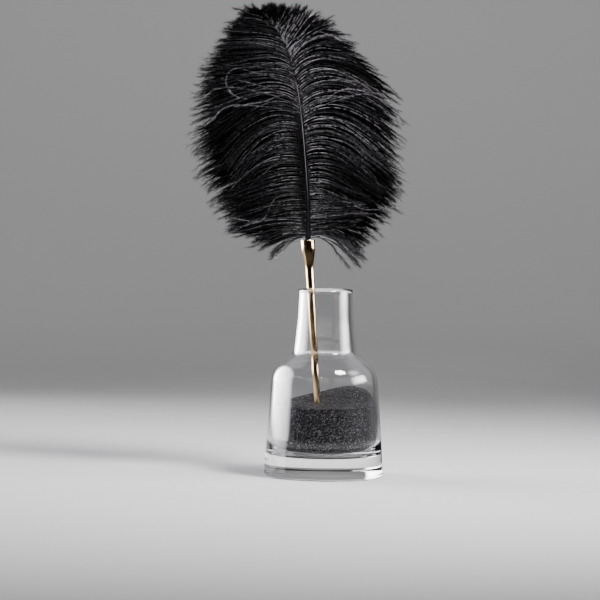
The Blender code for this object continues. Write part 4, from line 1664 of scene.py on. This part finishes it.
STRAYS = (  # side, root height, radius, shade (painted brightness as well as gloss), and the points x, z that the barb passes
    (Side.LEFT, 372.0, 0.3, 0.75, ((-94.0, 381.0), (-97.0, 372.0), (-92.0, 362.0), (-76.0, 356.0))),
    (Side.LEFT, 352.0, 0.4, 0.9, ((-102.0, 366.0), (-109.0, 364.0), (-115.0, 359.0), (-122.0, 353.0))),
    (Side.LEFT, 345.0, 0.6, 1.0, ((-100.0, 346.0), (-105.0, 341.0), (-109.0, 336.0), (-117.0, 331.0))),
    (Side.LEFT, 352.0, 0.45, 0.9, ((-46.0, 364.0), (-63.0, 369.0), (-86.0, 374.0))),
    (Side.LEFT, 344.0, 0.45, 0.95, ((-36.0, 359.0), (-63.0, 354.0), (-88.0, 349.0))),
    (Side.LEFT, 270.0, 0.4, 0.9, ((-34.0, 269.0), (-49.0, 263.0), (-61.0, 243.0), (-90.0, 244.0))),
    (Side.LEFT, 243.0, 0.4, 0.9, ((-78.0, 237.0), (-86.0, 233.0), (-94.0, 230.0), (-104.0, 232.0))),
    (Side.LEFT, 228.0, 0.45, 0.9, ((-25.0, 224.0), (-35.0, 221.0), (-42.0, 210.0), (-55.0, 206.0))),
    (Side.RIGHT, 350.0, 0.4, 0.9, ((54.0, 360.0), (61.0, 351.0), (65.0, 346.0), (68.0, 339.0))),
    (Side.RIGHT, 279.0, 0.45, 0.9, ((-5.0, 277.0), (17.0, 266.0), (29.0, 256.0), (73.0, 258.0))),
    (Side.RIGHT, 340.0, 0.5, 1.0, ((-18.0, 344.0), (-2.0, 358.0), (16.0, 367.0), (34.0, 365.0))),
    (Side.RIGHT, 398.0, 0.5, 1.0, ((-22.0, 409.0), (-12.0, 421.0), (1.0, 418.0), (15.0, 411.0))),
    (Side.RIGHT, 231.0, 0.45, 0.9, ((-1.0, 234.0), (9.0, 226.0), (20.0, 216.0))),
    (Side.RIGHT, 344.0, 0.4, 0.9, ((41.0, 361.0), (54.0, 353.0), (62.0, 346.0), (68.0, 336.0))),
)
# painted light and painted shade: the glow, rim and sheen tables scale the barbs' colour as well as their gloss by root
# height, dark where the vane lies in shade and light where its strands catch the light
LEFT_GLOW = ((227.0, 0.45), (300.0, 0.36), (315.0, 0.28), (345.0, 0.28), (380.0, 0.28), (439.0, 0.25))
RIGHT_GLOW = ((227.0, 1.5), (262.0, 1.5), (274.0, 0.5), (284.0, 0.15), (304.0, 0.2), (318.0, 0.65), (385.0, 0.5), (400.0, 0.2), (439.0, 0.15))
# painted highlight: the right rim lifts the outline's barbs to a lit edge, dull only beside the vane's shaded zone
LEFT_RIM = ((227.0, 0.6), (439.0, 0.6))
RIGHT_RIM = ((227.0, 1.7), (262.0, 1.2), (274.0, 0.25), (306.0, 0.4), (318.0, 1.9), (439.0, 1.9))
COMB_LIFT = tuple((shade, (share, share, share)) for shade, share in ((0.0, 0.03), (0.2, 0.12), (0.7, 0.9), (1.0, 1.0)))
# sheen: the combed barbs' painted highlights by root height, low over the right vane's shaded zone
LEFT_SHEEN = ((227.0, 1.4), (439.0, 1.4))
RIGHT_SHEEN = ((227.0, 1.5), (264.0, 1.5), (274.0, 0.3), (304.0, 0.35), (316.0, 1.3), (385.0, 1.5), (400.0, 1.9), (439.0, 1.9))
LEFT_COMB = ((227.0, 1.0), (380.0, 1.0), (439.0, 0.6))
RIGHT_COMB = ((227.0, 1.4), (262.0, 1.3), (274.0, 0.8), (300.0, 0.8), (318.0, 1.0), (380.0, 1.1), (394.0, 2.0), (439.0, 3.2))
LEFT_DENSITY = ((227.0, 1.3), (268.0, 1.25), (290.0, 0.95), (380.0, 0.85), (410.0, 0.65), (439.0, 0.65))
RIGHT_DENSITY = ((227.0, 1.3), (268.0, 1.25), (290.0, 0.95), (375.0, 0.9), (400.0, 1.0), (439.0, 1.3))
LEFT_BASE = (  # root height, reach from the shaft, shading: below 1 painted shade beside the shaft, above 1 a painted highlight
    (227.0, 4.0, 0.8),
    (236.0, 5.0, 0.0),
    (262.0, 7.0, 0.0),
    (274.0, 11.5, 0.0),
    (322.0, 12.0, 0.0),
    (334.0, 7.0, 0.3),
    (348.0, 2.5, 1.0),
    (376.0, 2.5, 1.3),
    (388.0, 2.5, 2.0),
    (439.0, 2.5, 2.0),
)
# painted highlight next to the shaft for roots from 270 to 304, where the strands are lit near the shaft and lie in
# shade farther out
RIGHT_BASE = (
    (227.0, 2.5, 1.0),
    (262.0, 2.0, 0.6),
    (270.0, 14.0, 1.5),
    (280.0, 24.0, 4.0),
    (304.0, 26.0, 3.0),
    (320.0, 12.0, 1.2),
    (332.0, 2.0, 0.6),
    (340.0, 2.0, 0.6),
    (376.0, 2.5, 1.3),
    (388.0, 3.0, 1.9),
    (439.0, 3.0, 1.9),
)
# the combed barbs' painted shade and painted highlights next to the shaft
LEFT_COMB_BASE = (*LEFT_BASE[:7], (439.0, 2.5, 1.0))
RIGHT_COMB_BASE = (
    (227.0, 2.0, 1.0),
    (262.0, 2.0, 0.8),
    (272.0, 18.0, 3.5),
    (304.0, 24.0, 3.5),
    (318.0, 12.0, 1.2),
    (330.0, 2.0, 0.8),
    (439.0, 2.5, 1.0),
)


@dataclass(frozen=True)
class SoftLight:
    """A rectangular or round soft light that faces a point.

    turn is the angle in degrees from the camera's side towards +X, distance is measured level from the
    axis, power is in watts, and spread is the beam's width in radians.
    """

    name: str
    turn: float
    distance: float
    height: float
    size: tuple[float, float]
    power: float
    aim: tuple[float, float, float]
    spread: float = 1.9
    round: bool = False
    colour: tuple[float, float, float] = (1.0, 1.0, 1.0)
    edge: float = 0.0

    def build(self) -> None:
        """Adds the light, unseen by the camera."""
        data = bpy.data.lights.new(self.name, "AREA")
        data.shape = "ELLIPSE" if self.round else "RECTANGLE"
        data.size, data.size_y = self.size
        data.energy = self.power
        data.color = self.colour
        if self.edge > 0.0:
            self.soften(data)
        light = bpy.data.objects.new(self.name, data)
        angle = math.radians(self.turn)
        light.location = (self.distance * math.sin(angle), -self.distance * math.cos(angle), self.height)
        data.spread = self.spread
        way = Vector(self.aim) - light.location
        light.rotation_euler = way.to_track_quat("-Z", "Y").to_euler()
        light.visible_camera = False
        bpy.context.scene.collection.objects.link(light)


    def soften(self, data: bpy.types.Light) -> None:
        """Lets the light fade out over a share of its width and height at each edge."""
        data.use_nodes = True
        tree = data.node_tree
        place = tree.nodes.new("ShaderNodeNewGeometry")
        apart = tree.nodes.new("ShaderNodeSeparateXYZ")
        link(tree, place.outputs["Parametric"], apart.inputs[0])
        strength = None
        for axis in ("X", "Y"):
            near = tree.nodes.new("ShaderNodeMath")
            near.operation = "PINGPONG"
            near.inputs[1].default_value = 0.5
            link(tree, apart.outputs[axis], near.inputs[0])
            fade = add_range(tree, near.outputs[0], 0.0, self.edge, 0.0, 1.0)
            if strength is not None:
                both = tree.nodes.new("ShaderNodeMath")
                both.operation = "MULTIPLY"
                link(tree, fade, both.inputs[0])
                link(tree, strength, both.inputs[1])
                fade = both.outputs[0]
            strength = fade
        link(tree, strength, tree.nodes["Emission"].inputs["Strength"])


LIGHTS = (
    SoftLight("left_softbox", -113.0, 1.1, 0.75, (1.66, 1.5), 80.0, aim=(0.0, 0.0, 0.75), spread=1.5, colour=(0.97, 0.95, 1.0), edge=0.1),
    SoftLight("right_softbox", 84.0, 1.1, 0.41, (0.89, 0.5), 16.0, aim=(0.0, 0.0, 0.41), spread=1.5, colour=(0.98, 0.95, 1.0), edge=0.25),
    SoftLight("right_fill", 84.0, 1.1, 1.08, (0.89, 0.84), 11.0, aim=(0.0, 0.0, 0.8), spread=1.6, colour=(0.98, 0.95, 1.0), edge=0.45),
    SoftLight("front_lamp", -12.0, 1.3, 0.9, (0.3, 0.3), 0.8, aim=(-0.03, 0.0, 0.46), spread=0.34),
    SoftLight("plume_lamp", -62.0, 1.3, 0.85, (0.3, 0.3), 2.0, aim=(-0.03, 0.0, 0.46), spread=0.34),
    SoftLight("round_lamp", 45.0, 1.0, 1.3, (0.55, 0.55), 24.0, aim=(0.0, 0.0, 0.25), round=True, spread=1.4),
    SoftLight("back_wash", 180.0, 1.4, 2.6, (3.2, 0.8), 50.0, aim=(0.0, 3.6, 0.9), spread=2.2),
)


@dataclass
class Studio:
    """The pale floor that curves up all round, soft lights and the camera."""

    flat_radius: float = 2.6
    curve_radius: float = 1.2
    wall_height: float = 3.6
    drop: float = 0.15 * MM
    room: float = 0.03
    screen_radius: float = 2.75
    screen_turn: tuple[float, float] = (-64.0, 112.0)
    screen_height: float = 2.2
    cards: tuple[tuple[float, float, float, float], ...] = ((-1.0, 2.4, -2.6, -0.12), (0.12, 2.4, -0.12, 1.2))
    sides: int = 96

    def build_floor(self) -> bpy.types.Object:
        """Turns a flat run, a quarter circle and a straight wall about Z."""
        arc = np.linspace(0.0, math.pi / 2, 25)
        radii = np.concatenate([[0.6, 1.6], self.flat_radius + self.curve_radius * np.sin(arc), [self.flat_radius + self.curve_radius]])
        heights = np.concatenate([[0.0, 0.0], self.curve_radius * (1 - np.cos(arc)), [self.wall_height]])
        angles = np.arange(self.sides) * 2 * math.pi / self.sides
        x = radii[:, None] * np.cos(angles)
        y = radii[:, None] * np.sin(angles)
        z = np.broadcast_to(heights[:, None] - self.drop, x.shape)
        points = np.concatenate([np.stack([x, y, z], axis=-1).reshape(-1, 3), [[0.0, 0.0, -self.drop]]])
        corners, sizes = ring_faces(len(radii), self.sides, True, False)
        floor = mesh_object("studio_floor", Skin(points, corners[::-1], sizes[::-1]))
        floor.data.materials.append(FloorFinish().material())
        return floor

    def build_screen(self) -> None:
        """Stands a curved black screen behind the camera, so that glass and metal have dark to reflect."""
        angles = np.radians(np.linspace(self.screen_turn[0], self.screen_turn[1], 33) - 90.0)
        circle = np.stack([np.cos(angles), np.sin(angles)], axis=-1) * self.screen_radius
        rows = [np.column_stack([circle, np.full(len(circle), height)]) for height in (0.0, self.screen_height)]
        along = np.arange(len(circle) - 1)[:, None]
        corners = (along + np.array([0, 1, len(circle) + 1, len(circle)])).reshape(-1)
        screen = mesh_object("studio_screen", Skin(np.concatenate(rows), corners, np.full(len(circle) - 1, 4)))
        screen.data.materials.append(FloorFinish("black_screen", (0.008, 0.008, 0.008), 0.0).material())
        screen.visible_camera = screen.visible_shadow = False

    def build_cards(self) -> None:
        """Lays black cards on the floor in front and to the right, seen only in what glass and metal mirror."""
        for number, (left, right, near, far) in enumerate(self.cards):
            level = 0.2 * MM
            points = np.array([[left, near, level], [right, near, level], [right, far, level], [left, far, level]])
            card = mesh_object(f"studio_card_{number}", Skin(points, np.arange(4), np.array([4])))
            card.data.materials.append(FloorFinish("black_card", (0.02, 0.02, 0.02), 0.0).material())
            card.visible_camera = card.visible_diffuse = card.visible_transmission = card.visible_shadow = False

    def build_lights(self) -> None:
        """Sets the soft lights and a dim room."""
        for light in LIGHTS:
            light.build()
        world = bpy.data.worlds.new("dim_room")
        world.use_nodes = True
        world.node_tree.nodes["Background"].inputs["Color"].default_value = (0.95, 0.95, 1.0, 1.0)
        world.node_tree.nodes["Background"].inputs["Strength"].default_value = self.room
        bpy.context.scene.world = world

    @staticmethod
    def build_camera() -> None:
        """Places the long lens that gives the photograph's view: level with the plume's foot, rolled a little."""
        data = bpy.data.cameras.new("camera")
        data.lens = 165.0
        data.sensor_width = 36.0
        camera = bpy.data.objects.new("camera", data)
        tilt = Matrix.Rotation(math.radians(90.0 - 1.917), 4, "X")
        roll = Matrix.Rotation(math.radians(0.75), 4, "Z")
        camera.matrix_world = Matrix.Translation((-24.4 * MM, -2.612, 254.6 * MM)) @ tilt @ roll
        bpy.context.scene.collection.objects.link(camera)
        bpy.context.scene.camera = camera

    def build(self) -> None:
        """Builds the floor, the lights and the camera."""
        self.build_floor()
        self.build_screen()
        self.build_cards()
        self.build_lights()
        self.build_camera()


def main() -> None:
    """Builds the vase, the sand, the sleeve, the feather and the studio."""
    logging.basicConfig(level=logging.INFO, format="%(name)s %(message)s")
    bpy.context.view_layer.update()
    vase = BottleVase()
    sleeve = QuillSleeve()
    vase.build()
    sand = SandBed(vase, sleeve)
    sand.build_body()
    sand.build_grains()
    sleeve.build()
    Plume(sleeve, Shaft()).build()
    Studio().build()


if __name__ == "__main__":
    main()
